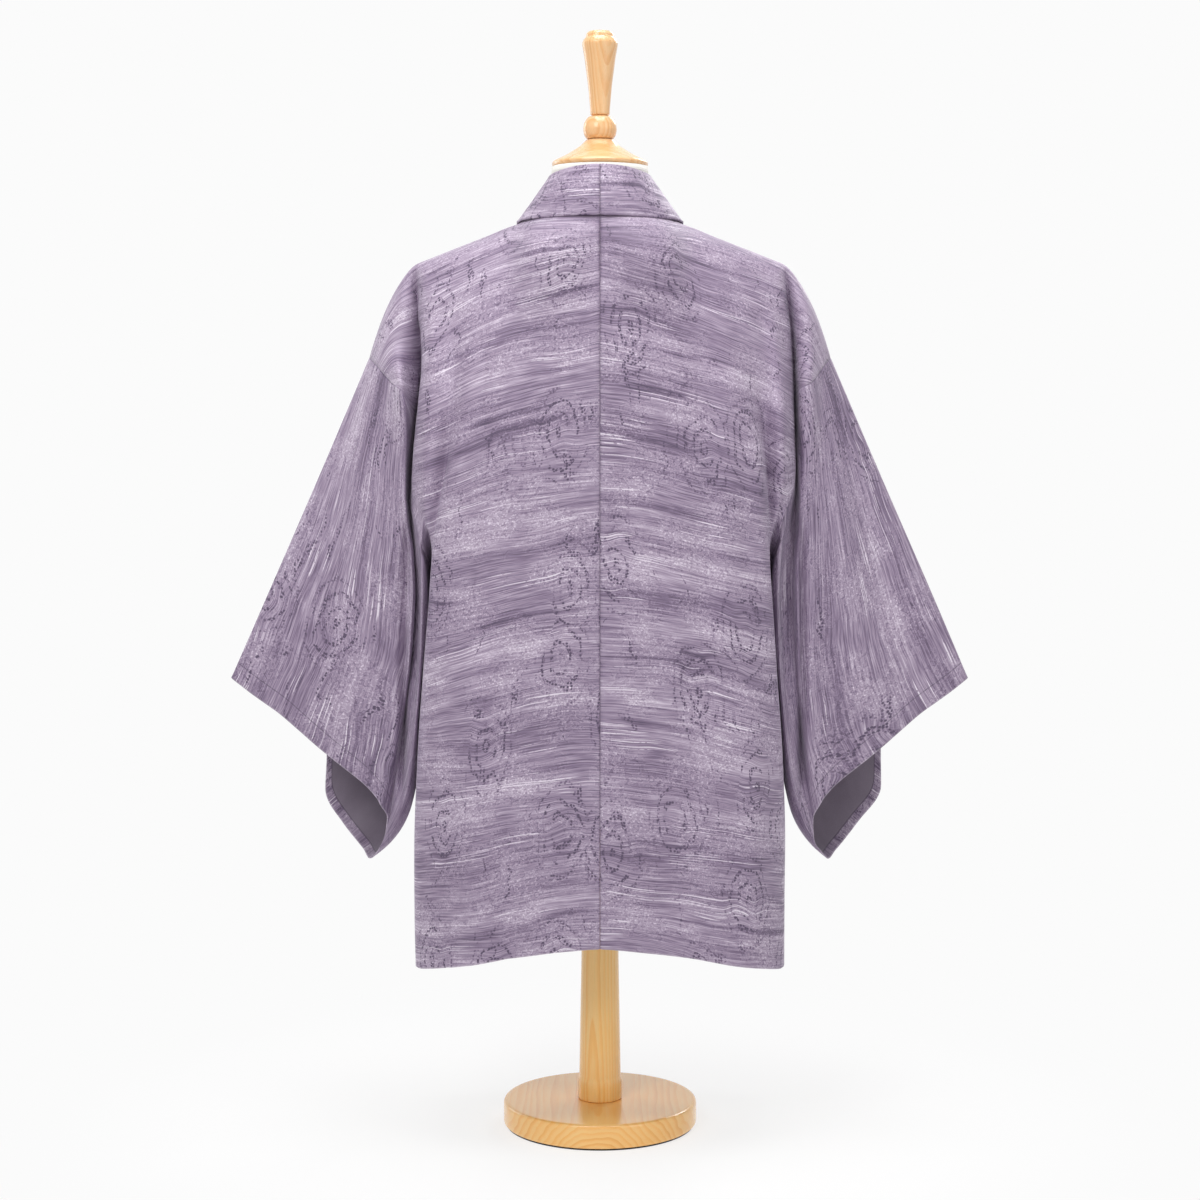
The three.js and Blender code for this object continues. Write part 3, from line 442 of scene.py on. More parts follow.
# Long soft troughs (negative) and ridges down the cloth: (panel, column knot path by height, half width in mm, depth in mm)
FOLDS = {
    "left": [
        ("back", [(900, 10.2), (787, 10.7), (700, 11.2), (641, 11.6)], 3.4, -2.0),
        ("back", [(380, 8.8), (214, 8.8)], 3.6, -1.4),
        ("back", [(560, 8.6), (420, 8.4), (214, 8.2)], 16, -2.2),
        ("back", [(700, 10.6), (520, 11.0), (330, 11.2), (214, 11.0)], 22, 2.6),
        ("back", [(880, 3.0), (760, 3.6), (600, 3.2), (430, 3.4)], 26, 1.6),
        ("back", [(640, 4.9), (480, 5.2), (300, 5.0), (214, 5.0)], 18, -1.8),
        ("back", [(700, 13.2), (560, 13.6), (430, 13.9), (214, 13.6)], 12, -2.4),
        ("front", [(860, 11.0), (700, 11.4), (500, 11.6), (214, 11.2)], 16, -2.4),
        ("front", [(780, 13.4), (640, 13.8), (450, 14.1), (214, 13.9)], 13, 2.2),
        ("front", [(600, 9.6), (400, 9.9), (214, 9.6)], 14, 1.6),
    ],
    "right": [
        ("back", [(600, 10.9), (450, 10.9), (270, 10.8)], 3.4, -1.6),
        ("back", [(880, 8.6), (740, 9.3), (560, 9.6), (330, 9.4), (214, 9.3)], 18, -2.6),
        ("back", [(860, 4.2), (700, 4.6), (520, 4.2), (330, 4.0), (214, 4.2)], 24, 1.9),
        ("back", [(600, 6.4), (450, 6.6), (214, 6.4)], 17, -1.7),
        ("back", [(640, 12.0), (470, 12.4), (300, 12.2), (214, 12.1)], 14, 2.4),
        ("front", [(840, 10.4), (690, 10.9), (480, 11.3), (214, 11.0)], 18, 2.2),
        ("front", [(800, 12.8), (640, 13.3), (430, 13.6), (214, 13.4)], 13, -2.4),
        ("front", [(560, 9.4), (380, 9.5), (214, 9.8)], 14, -1.6),
    ],
}


# the pleat that falls from the shoulder point beside the arm: height, across, how deep, how far its outer lip stands up
PLEAT = {
    "left": np.array([[908, 194, 0, 0], [893, 191.5, 9, 1], [865, 187.7, 26, 5], [832, 185.2, 32, 8], [799, 184, 34, 10], [768, 186.5, 34, 10],
                      [740, 189.4, 30, 8], [700, 192.8, 22, 5], [660, 195, 10, 2], [630, 196, 0, 0]], float)[::-1],
    "right": np.array([[904, 195, 0, 0], [890, 192.5, 7, 1], [865, 194.5, 18, 4], [832, 198, 26, 7], [799, 200, 30, 9], [763, 201, 30, 9],
                       [730, 201.5, 26, 7], [700, 202, 20, 4], [660, 202.5, 9, 2], [630, 203, 0, 0]], float)[::-1],
}


def pleat(p, side, weight):
    """How far points move for the pleat at the back of the shoulder, and for the shoulder's corner."""
    t = PLEAT[side]
    z = np.clip(p[:, 2], t[0, 0], t[-1, 0])
    xc, deep, lip = pchip(t[:, 0], t[:, 1:], z).T
    back = smoothstep((p[:, 1] - 2) / 14)
    d = np.zeros_like(p)
    cut = 0.7 * deep * np.exp(-np.abs((p[:, 0] - xc) / 6.6) ** 2.2) + 0.8 * deep * np.exp(-((p[:, 0] - xc) / 3.4) ** 2)
    room = np.maximum(0, p[:, 1] - 3)
    d[:, 1] = -np.minimum(cut, room) * back
    d[:, 1] += (lip * np.exp(-((p[:, 0] - xc - 14) / 7) ** 2) + 0.7 * lip * np.exp(-((p[:, 0] - xc + 15) / 8) ** 2)) * back
    shut = 4.2 * np.minimum(deep / 26, 1) * back
    d[:, 0] += shut * (np.exp(-((p[:, 0] - xc + 8) / 5.5) ** 2) - np.exp(-((p[:, 0] - xc - 8) / 5.5) ** 2))
    d[:, 2] += 1.0 * np.exp(-((p[:, 0] - 190) / 9) ** 2 - (p[:, 1] / 24) ** 2) * (p[:, 2] > 880)
    return d * (weight if np.isscalar(weight) else weight[:, None])


# soft folds and one pressed crease that fall down the back inside that pleat: height, across; then half width and depth
CREASES = {
    "left": [
        ([(840, 141), (812, 143.5), (744, 147.3), (683, 156.4), (599, 167.2), (560, 170)], 8.5, 3.4, False),
        ([(850, 106.2), (763, 110.9), (700, 114.2), (624, 119.4), (560, 122)], 3.6, 1.5, True),
        ([(520, 96), (420, 99), (300, 101), (190, 102)], 15, 2.4, False),
        ([(760, 62), (640, 66), (520, 67), (430, 66)], 12, 1.6, False),
    ],
    "right": [
        ([(868, 158), (842, 162.3), (763, 174.7), (701, 173), (612, 175.5), (560, 175)], 8.0, 3.4, False),
        ([(800, 98), (700, 106), (600, 108), (500, 108)], 13, 2.2, False),
        ([(470, 128), (380, 132), (280, 134), (190, 134)], 14, 2.4, False),
        ([(700, 52), (560, 56), (440, 54)], 12, 1.5, False),
    ],
}


def creases(p, side):
    d = np.zeros_like(p)
    for path, half, deep, pressed in CREASES[side]:
        t = np.array(path, float)[::-1]
        z = np.clip(p[:, 2], t[0, 0], t[-1, 0])
        xc = pchip(t[:, 0], t[:, 1], z)
        ends = smoothstep((t[-1, 0] + 14 - p[:, 2]) / 60) * smoothstep((p[:, 2] - t[0, 0] + 14) / 60)
        u = (p[:, 0] - xc) / half
        # the form holds the cloth from behind, so a fold stands out on both sides of its valley
        shape = np.maximum(0, 1 - abs(u)) if pressed else np.exp(-((u - 1.5) / 1.05) ** 2) + 0.6 * np.exp(-((u + 1.6) / 1.3) ** 2)
        d[:, 1] += 1.7 * deep * shape * ends * smoothstep((p[:, 1] - 20) / 30)
    return d


def folds(s, side):
    n = s.normals()
    g, nb = s.grid, s.nb
    rows = np.concatenate([s.back.zk[0] - s.rb[::-1] + 946, 946 - s.rf[1:]])
    C = np.repeat(s.cols[None], len(rows), 0)
    Z = np.repeat(rows[:, None], len(s.cols), 1)
    # column units to millimetres, about
    mm = np.interp(s.cols, COLS, [0, 84.5, 118, 150, 164, 182, 200, 222, 242])
    lift = np.zeros(C.shape)
    for panel, path, half, depth in FOLDS[side]:
        path = np.array(path, float)[::-1]
        c = pchip(path[:, 0], path[:, 1], np.clip(rows, path[0, 0], path[-1, 0])) if len(path) > 2 else np.interp(rows, path[:, 0], path[:, 1])
        centre = np.interp(c, s.cols, mm)
        x = (mm[None] - centre[:, None]) / half
        top, low = path[-1, 0], path[0, 0]
        fade = smoothstep((top - rows) / 90) * (1 if low < 220 else smoothstep((rows - low) / 110))
        where = (np.arange(len(rows)) < nb) == (panel == "back")
        lift += np.exp(-x * x)[:] * (fade * where)[:, None] * depth
    mmg = np.repeat(mm[None], len(rows), 0)
    calm = smoothstep((946 - Z) / 120) * smoothstep(mmg / 30 if side else 1)
    lift += 0.55 * calm * bumps(mmg, Z, 11 if side == "left" else 23, 26, 90)
    ok = g >= 0
    edge = smoothstep((LAST_C - C) / 2.0)
    seam = smoothstep(mmg / 14)
    band = np.where((np.arange(len(rows)) >= nb)[:, None], smoothstep((mmg - NECK_X) / 26), 1)
    s.p[g[ok]] += n[g[ok]] * (lift * edge * seam * band)[ok][:, None]


def sleeve_sheet(side, body):
    loop = body.back.loop
    k = loop.knots
    inner = fine(k[7:10], [9, 9])[1:-1]
    t = np.concatenate([body.t_back, inner, body.t_front[::-1][:-1]])
    size = 3.0
    n = int(round(400 / size))
    s = np.linspace(0, 1, n + 1)
    s = np.sort(np.concatenate([s, [0.003]]))
    p = loop.at(s, t)
    nb = len(body.t_back)
    free = np.zeros(len(t))
    free[nb:nb + len(inner)] = smoothstep(np.minimum(inner - k[7], k[9] - inner) / 6)
    near = np.exp(-s * 400 / 25)
    p += (near[:, None] * free[None])[..., None] * np.array([2.4, 0, -1.5])
    keep = p[0].copy()
    p = off_form(p)
    p[0] = keep
    grid = np.arange(p.shape[0] * p.shape[1]).reshape(p.shape[:2])
    # cloth coordinates: along the sleeve, and round it from the top fold
    tt = np.concatenate([t, [loop.total]])
    along = np.linalg.norm(np.diff(p, axis=0), axis=2)
    along = np.concatenate([np.zeros((1, len(t))), np.cumsum(along, 0)], 0)
    along = np.concatenate([along, along[:, :1]], 1)
    uv = np.zeros((len(s), len(tt), 4))
    uv[..., 0] = 430 + along
    uv[..., 1] = 900 + np.where(tt > loop.total / 2, tt - loop.total, tt)[None]
    uv[..., 2] = along[-1:] - along
    uv[..., 3] = along
    sh = Sheet(p.reshape(-1, 3), uv.reshape(-1, 4), grid, closed=True, flip=False)
    sh.s, sh.t = s, t
    sleeve_folds(sh, side, loop)
    sh.around(14)
    sh.p += pleat(sh.p, side, np.exp(-(np.repeat(sh.s, len(sh.t)) * 400 / 70) ** 2))
    # beside the body the sleeve's back rolls in until it nearly touches the body's edge
    x, y, zz = sh.p[:, 0].copy(), sh.p[:, 1], sh.p[:, 2]
    edge = pchip([320, 350, 380, 410, 440, 470, 500, 530, 560, 590, 620, 650, 680],
                 [191.5, 190.2, 188.8, 187.3, 185.3, 182.8, 180.0, 177.0, 175.0, 176.0, 182.0, 191.0, 199.0], np.clip(zz, 320, 680))
    roll = pchip([330, 380, 440, 500, 560, 610, 640, 670], [0, 2.8, 6.0, 9.0, 9.5, 6.5, 2.5, 0], np.clip(zz, 330, 670))
    near = smoothstep((212 - x) / 16) * np.exp(-((y - 46) / 24) ** 2)
    brush = smoothstep((205 - x) / 12) * 2.2 * smoothstep((570 - zz) / 60) * smoothstep((zz - 335) / 40)
    moved = x - np.maximum(roll * near, brush) * smoothstep(np.repeat(sh.s, len(sh.t)) * 400 / 24)
    sh.p[:, 0] = np.where(zz < 660, np.minimum(x, np.maximum(moved, edge + 0.9)), x)
    # the slot between the arm and the roll of cloth beside it runs on down to the hem of the sleeve
    line = pchip([340, 371, 475, 558, 640], [205.5, 204.1, 201.4, 197.7, 195.5] if side == "left" else [208, 208, 207.6, 206, 203.2], np.clip(zz, 340, 640))
    deep = 15.0 * smoothstep((660 - zz) / 60) * smoothstep((zz - 335) / 50) * smoothstep((sh.p[:, 1] - 8) / 14)
    sh.p[:, 1] -= deep * np.exp(-((sh.p[:, 0] - line) / 4.4) ** 2)
    q = off_form(sh.p)
    sh.p[grid[1:]] = q[grid[1:]]
    # the first points are the body's own, so that the seam is one line
    sh.arm_back = grid[0, :nb]
    sh.arm_front = np.concatenate([[grid[0, 0]], grid[0, nb + len(inner):][::-1]])
    sh.p[sh.arm_back] = body.p[body.armhole_back]
    sh.p[sh.arm_front] = body.p[body.armhole_front]
    return sh


def sleeve_folds(sh, side, loop):
    n = sh.normals()
    S, T = np.meshgrid(sh.s, sh.t, indexing="ij")
    k = loop.knots
    lift = 0.8 * bumps(S * 400, T, 31 if side == "left" else 47, 110, 28)
    # soft ridges and troughs that fall from the shoulder to the open end: (t as part of the back's width, half width, depth)
    for s0, t0, s1, t1, half, depth in [
        (0.15, 0.30, 1.0, 0.36, 11, -2.2), (0.1, 0.52, 1.0, 0.62, 15, 2.2), (0.35, 0.74, 1.0, 0.86, 9, -1.8),
        (0.3, 0.14, 1.0, 0.15, 13, 1.5),
    ]:
        for a, b in ((0, k[4]), (loop.total, k[12])):
            at = a + (b - a) * (t0 + (t1 - t0) * (S - s0) / (s1 - s0))
            fade = smoothstep((S - s0) / 0.3)
            sign = 1 if a == 0 else -0.8
            lift += sign * depth * fade * np.exp(-((T - at) / half) ** 2)
    fade = smoothstep(S / 0.15) * smoothstep(np.minimum(abs(T), abs(loop.total - T)) / 14)
    sh.p[sh.grid.ravel()] += n[sh.grid.ravel()] * (lift * fade).ravel()[:, None]


# ---- closed shells ----------------------------------------------------------------------
def shell(name, sheet, thickness, mirror, mats, seam_normals=None, groove=(), plump=0.35, swell=None):
    """A thin closed wall about a sheet. Rims are rounded, except where a seam joins another piece."""
    p, q = sheet.p, sheet.quads
    n = sheet.normals()
    if seam_normals is not None:
        idx, nn = seam_normals
        n[idx] = nn
    h = np.full(len(p), thickness / 2)
    if swell is not None:
        h = h + swell
    out, inn = p + n * h[:, None], p - n * h[:, None]
    for idx, depth in groove:
        out[idx] -= n[idx] * depth
    if not sheet.closed:
        out[:, 0], inn[:, 0] = np.maximum(out[:, 0], EDGE), np.maximum(inn[:, 0], EDGE)
    # the sheet's open edges
    e = np.concatenate([q[:, [i, (i + 1) % 4]] for i in range(4)])
    where = np.concatenate([np.arange(len(q))] * 4)
    corner = np.concatenate([np.full(len(q), i) for i in range(4)])
    key, rev = e[:, 0] * len(p) + e[:, 1], e[:, 1] * len(p) + e[:, 0]
    rim = ~np.isin(key, rev)
    e, where, corner = e[rim], where[rim], corner[rim]
    sewn = np.zeros(len(p), bool)
    for idx, _ in groove:
        sewn[idx] = True
    # a rim point's outward direction in the sheet
    face_n = n[e[:, 0]] + n[e[:, 1]]
    d = unit(np.cross(p[e[:, 1]] - p[e[:, 0]], face_n))
    outward = np.zeros_like(p)
    np.add.at(outward, e[:, 0], d)
    np.add.at(outward, e[:, 1], d)
    ids = np.unique(e)
    outward = unit(outward[ids])
    push = np.where(sewn[ids], 0, plump * 2 * h[ids])[:, None]
    mid = (out[ids] + inn[ids]) / 2 + outward * push
    if not sheet.closed:
        mid[:, 0] = np.maximum(mid[:, 0], EDGE)
    N = len(p)
    mid_id = np.zeros(N, int)
    mid_id[ids] = 2 * N + np.arange(len(ids))
    verts = np.concatenate([out, inn, mid])
    a, b = e[:, 0], e[:, 1]
    rim1 = np.stack([b, a, mid_id[a], mid_id[b]], 1)
    rim2 = np.stack([mid_id[b], mid_id[a], a + N, b + N], 1)
    faces = np.concatenate([q, q[:, ::-1] + N, rim1, rim2])
    cu = sheet.quad_uv
    ua, ub = cu[where, corner], cu[where, (corner + 1) % 4]
    ruv = np.stack([ub, ua, ua, ub], 1)
    coords = np.concatenate([cu, cu[:, ::-1], ruv, ruv])
    # the bake's own layout: the outside, the inside, and the rims in a strip
    box0, box1 = cu.reshape(-1, cu.shape[-1])[:, :2].min(0), cu.reshape(-1, cu.shape[-1])[:, :2].max(0)
    unit_uv = (cu[..., :2] - box0) / (box1 - box0)
    o1 = np.stack([0.005 + 0.485 * unit_uv[..., 0], 0.045 + 0.95 * unit_uv[..., 1]], -1)
    o2 = np.stack([0.51 + 0.485 * unit_uv[..., 0], 0.045 + 0.95 * unit_uv[..., 1]], -1)
    k = np.arange(len(e)) / len(e)
    k1 = (np.arange(len(e)) + 0.98) / len(e)
    r1 = np.stack([np.stack([k1, np.full(len(e), 0.004)], -1), np.stack([k, np.full(len(e), 0.004)], -1),
                   np.stack([k, np.full(len(e), 0.017)], -1), np.stack([k1, np.full(len(e), 0.017)], -1)], 1)
    r2 = r1 + np.array([0, 0.018])
    bake = np.concatenate([o1, o2[:, ::-1], r1, r2])
    if mirror:
        verts = verts * [-1, 1, 1]
        faces, coords, bake = faces[:, ::-1], coords[:, ::-1], bake[:, ::-1]
    material = np.concatenate([np.zeros(len(q), int), np.ones(len(q), int), np.zeros(len(e), int), np.zeros(len(e), int)])
    return make(name, verts / 1000, faces, mats, material,
                {"Cloth": coords[..., :2] / 1000, "Edge": coords[..., 2:4] / 1000, "OFBake": bake})


def make(name, verts, faces, mats, material=None, layers=None):
    me = bpy.data.meshes.new(name)
    me.vertices.add(len(verts))
    me.vertices.foreach_set("co", np.asarray(verts, np.float32).ravel())
    n, k = faces.shape
    me.loops.add(n * k)
    me.loops.foreach_set("vertex_index", faces.astype(np.int32).ravel())
    me.polygons.add(n)
    me.polygons.foreach_set("loop_start", np.arange(0, n * k, k, dtype=np.int32))
    me.polygons.foreach_set("use_smooth", np.ones(n, bool))
    if material is not None:
        me.polygons.foreach_set("material_index", material.astype(np.int32))
    for m in mats:
        me.materials.append(m)
    me.update(calc_edges=True)
    for key, value in (layers or {}).items():
        layer = me.uv_layers.new(name=key)
        layer.uv.foreach_set("vector", np.ascontiguousarray(value, np.float32).ravel())
    me.validate()
    o = bpy.data.objects.new(name, me)
    bpy.context.scene.collection.objects.link(o)
    return o


def grid_faces(rows, cols, closed=False):
    g = np.arange(rows * cols).reshape(rows, cols)
    if closed:
        g = np.concatenate([g, g[:, :1]], 1)
    return np.stack([g[:-1, :-1], g[:-1, 1:], g[1:, 1:], g[1:, :-1]], -1).reshape(-1, 4)


# ---- material helpers --------------------------------------------------------------------
def srgb(r, g, b):
    def f(c):
        c /= 255
        return c / 12.92 if c <= 0.04045 else ((c + 0.055) / 1.055) ** 2.4
    return (f(r), f(g), f(b), 1)


class Nodes:
    """Short names for the nodes of one material."""

    def __init__(self, name):
        self.m = bpy.data.materials.new(name)
        self.m.use_nodes = True
        self.t = self.m.node_tree
        self.t.nodes.clear()
        self.out = self.t.nodes.new("ShaderNodeOutputMaterial")
        self.bsdf = self.t.nodes.new("ShaderNodeBsdfPrincipled")
        self.t.links.new(self.bsdf.outputs[0], self.out.inputs[0])

    def put(self, socket, value):
        if isinstance(value, bpy.types.NodeSocket):
            self.t.links.new(value, socket)
        elif value is not None:
            socket.default_value = value

    def set(self, name, value):
        self.put(self.bsdf.inputs[name], value)

    def uv(self, name):
        n = self.t.nodes.new("ShaderNodeUVMap")
        n.uv_map = name
        return n.outputs[0]

    def obj(self):
        return self.t.nodes.new("ShaderNodeTexCoord").outputs["Object"]

    def math(self, op, a, b=None, c=None, clamp=False):
        n = self.t.nodes.new("ShaderNodeMath")
        n.operation, n.use_clamp = op, clamp
        for i, v in enumerate((a, b, c)):
            self.put(n.inputs[i], v)
        return n.outputs[0]

    def add(self, a, b):
        return self.math("ADD", a, b)

    def sub(self, a, b):
        return self.math("SUBTRACT", a, b)

    def mul(self, a, b):
        return self.math("MULTIPLY", a, b)

    def split(self, v):
        n = self.t.nodes.new("ShaderNodeSeparateXYZ")
        self.put(n.inputs[0], v)
        return n.outputs

    def vec(self, x, y, z=0.0):
        n = self.t.nodes.new("ShaderNodeCombineXYZ")
        for i, v in enumerate((x, y, z)):
            self.put(n.inputs[i], v)
        return n.outputs[0]

    def noise(self, v, scale=1.0, detail=2.0, rough=0.5, distortion=0.0, dims="3D"):
        n = self.t.nodes.new("ShaderNodeTexNoise")
        n.noise_dimensions = dims
        self.put(n.inputs["Vector"], v)
        n.inputs["Scale"].default_value = scale
        n.inputs["Detail"].default_value = detail
        n.inputs["Roughness"].default_value = rough
        n.inputs["Distortion"].default_value = distortion
        return n.outputs["Fac"]

    def cells(self, v, scale=1.0, random=1.0, feature="F1", out="Distance"):
        n = self.t.nodes.new("ShaderNodeTexVoronoi")
        n.voronoi_dimensions, n.feature = "2D", feature
        self.put(n.inputs["Vector"], v)
        n.inputs["Scale"].default_value = scale
        n.inputs["Randomness"].default_value = random
        return n.outputs[out] if isinstance(out, str) else [n.outputs[o] for o in out]

    def step(self, v, low, high, to0=0.0, to1=1.0):
        """Smooth step from low to high."""
        n = self.t.nodes.new("ShaderNodeMapRange")
        n.interpolation_type = "SMOOTHSTEP"
        self.put(n.inputs[0], v)
        for i, x in ((1, low), (2, high), (3, to0), (4, to1)):
            n.inputs[i].default_value = x
        return n.outputs[0]

    def ramp(self, v, stops):
        n = self.t.nodes.new("ShaderNodeValToRGB")
        self.put(n.inputs[0], v)
        e = n.color_ramp.elements
        while len(e) < len(stops):
            e.new(0.5)
        for i, (at, colour) in enumerate(stops):
            e[i].position, e[i].color = at, colour
        return n.outputs[0]

    def mix(self, f, a, b, kind="MIX"):
        n = self.t.nodes.new("ShaderNodeMix")
        n.data_type, n.blend_type = "RGBA", kind
        self.put(n.inputs[0], f)
        self.put(n.inputs[6], a)
        self.put(n.inputs[7], b)
        return n.outputs[2]

    def bump(self, height, strength, distance, under=None):
        n = self.t.nodes.new("ShaderNodeBump")
        n.inputs["Strength"].default_value = strength
        n.inputs["Distance"].default_value = distance
        self.put(n.inputs["Height"], height)
        if under is not None:
            self.put(n.inputs["Normal"], under)
        return n.outputs[0]


# ---- materials ------------------------------------------------------------------------------
DEEP, DARK, MID, LIGHT, PALE = srgb(88, 74, 98), srgb(122, 104, 131), srgb(155, 138, 162), srgb(188, 172, 193), srgb(229, 219, 232)


def pattern(n, shift, long_way):
    """Wood-grain weave: straight streaks along the weft that bend a little round oval rings of dots. Returns the tone, 0 to 1, and the cloth coordinates in mm."""
    x, y, _ = n.split(n.uv("Cloth"))
    U, V = n.add(n.mul(x, 1000.0), shift[0]), n.add(n.mul(y, 1000.0), shift[1])
    z = float(shift[2])
    # oval knots, longer along the warp on the body and along the arm on a sleeve
    ku, kv = (118.0, 66.0) if long_way else (66.0, 118.0)
    dist, cellcol = n.cells(n.vec(n.mul(U, 1 / ku), n.mul(V, 1 / kv)), 1, 0.9, out=("Distance", "Color"))
    pick = n.split(cellcol)
    dist = n.add(dist, n.mul(n.sub(n.noise(n.vec(n.mul(U, 1 / 26), n.mul(V, 1 / 34), z + 3), 1, 2), 0.5), 0.24))
    on = n.step(pick[0], 0.46, 0.52)
    knot = n.mul(n.step(dist, 0.46, 0.10), on)
    # slow wander of the wefts, more beside a knot
    w1 = n.sub(n.noise(n.vec(n.mul(U, 1 / 150), n.mul(V, 1 / 95), z), 1, 1, 0.4), 0.5)
    w2 = n.sub(n.noise(n.vec(n.mul(U, 1 / 46), n.mul(V, 1 / 60), z + 2), 1, 1, 0.4), 0.5)
    Q = n.add(V, n.add(n.mul(w1, 22.0), n.mul(w2, n.add(4.0, n.mul(knot, 26.0)))))
    # tone at several widths
    s1 = n.noise(n.vec(n.mul(U, 1 / 420), n.mul(Q, 1 / 30), z + 1), 1, 1, 0.5)
    s2 = n.noise(n.vec(n.mul(U, 1 / 210), n.mul(Q, 1 / 8.5), z + 2), 1, 2, 0.6)
    s3 = n.noise(n.vec(n.mul(U, 1 / 80), n.mul(Q, 1 / 1.9), z + 5), 1, 2, 0.6)
    s4 = n.noise(n.vec(n.mul(U, 1 / 22), n.mul(Q, 1 / 0.85), z + 6), 1, 1, 0.6)
    patch = n.noise(n.vec(n.mul(U, 1 / 58), n.mul(V, 1 / 46), z + 7), 1, 3, 0.62)
    zone = n.step(patch, 0.46, 0.62)
    crisp = n.sub(1.0, n.mul(zone, 0.55))
    tone = n.add(0.50, n.mul(n.sub(s1, 0.5), 0.72))
    tone = n.add(tone, n.mul(n.sub(s2, 0.5), 0.46))
    tone = n.add(tone, n.mul(n.mul(n.sub(s3, 0.5), 1.12), crisp))
    tone = n.add(tone, n.mul(n.mul(n.sub(s4, 0.5), 0.85), crisp))
    tone = n.add(tone, n.mul(n.sub(patch, 0.5), 0.46))
    # deep wisps that run along the weft and fade out
    wisp = n.step(n.noise(n.vec(n.mul(U, 1 / 150), n.mul(Q, 1 / 15), z + 11), 1, 1, 0.5), 0.63, 0.76)
    tone = n.sub(tone, n.mul(wisp, 0.33))
    # pale broken threads in clusters
    line = n.step(n.noise(n.vec(n.mul(U, 1 / 115), n.mul(Q, 1 / 1.35), z + 13), 1, 1, 0.5), 0.60, 0.67)
    cluster = n.step(n.noise(n.vec(n.mul(U, 1 / 95), n.mul(V, 1 / 26), z + 17), 1, 2, 0.5), 0.51, 0.62)
    broken = n.step(n.noise(n.vec(n.mul(U, 1 / 5.0), n.mul(V, 1 / 2.2), z + 19), 1, 1, 0.5), 0.28, 0.44)
    thread = n.mul(n.mul(line, cluster), broken)
    tone = n.add(tone, n.mul(thread, 0.72))
    # little squares of the weave, dark in broken rings round the knots and in wandering columns, pale in patches
    dots = n.cells(n.vec(n.mul(U, 1 / 3.5), n.mul(V, 1 / 3.3)), 1, 0.7)
    dot = n.step(dots, 0.42, 0.26)
    arc = n.step(n.noise(n.vec(n.mul(U, 1 / 20), n.mul(V, 1 / 24), z + 21), 1, 1), 0.40, 0.52)
    ring = n.step(n.math("SINE", n.mul(dist, 50.0)), 0.30, 0.75)
    ring = n.mul(n.mul(ring, on), n.mul(arc, n.step(dist, 0.46, 0.34)))
    U2, V2 = (n.mul(V, 1.0), U) if long_way else (U, V)
    U2 = n.add(U2, n.mul(n.sub(n.noise(n.vec(n.mul(U, 1 / 64), n.mul(V, 1 / 52), z + 23), 1, 2), 0.5), 64.0))
    column = n.step(n.noise(n.vec(n.mul(U2, 1 / 8.0), n.mul(V2, 1 / 110), z + 29), 1, 1), 0.62, 0.69)
    column = n.mul(column, n.step(n.noise(n.vec(n.mul(U, 1 / 60), n.mul(V, 1 / 50), z + 31), 1, 2), 0.46, 0.58))
    tone = n.sub(tone, n.mul(n.mul(dot, n.math("MAXIMUM", ring, column)), 0.74))
    tone = n.sub(tone, n.mul(ring, 0.06))
    specks = n.cells(n.vec(n.mul(U, 1 / 4.1), n.mul(V, 1 / 4.1)), 1, 1.0)
    speck = n.mul(n.step(specks, 0.25, 0.13), n.step(patch, 0.47, 0.60))
    tone = n.add(tone, n.mul(speck, 0.20))
    # crackle of the print: small pale and dark curls in patches
    curl = n.noise(n.vec(n.mul(U, 1 / 5.4), n.mul(V, 1 / 4.2), z + 37), 1, 1, 0.5)
    where = n.step(patch, 0.38, 0.56)
    tone = n.add(tone, n.mul(n.mul(n.step(n.math("ABSOLUTE", n.sub(curl, 0.53)), 0.036, 0.012), where), 0.16))
    tone = n.sub(tone, n.mul(n.mul(n.step(n.math("ABSOLUTE", n.sub(curl, 0.42)), 0.036, 0.012), where), 0.20))
    # painted shade: the sleeves' copy of the cloth is painted a little darker than the body's
    if long_way:
        tone = n.sub(tone, 0.05)
    tone = n.math("ADD", tone, 0.0, clamp=True)
    return tone, U, V


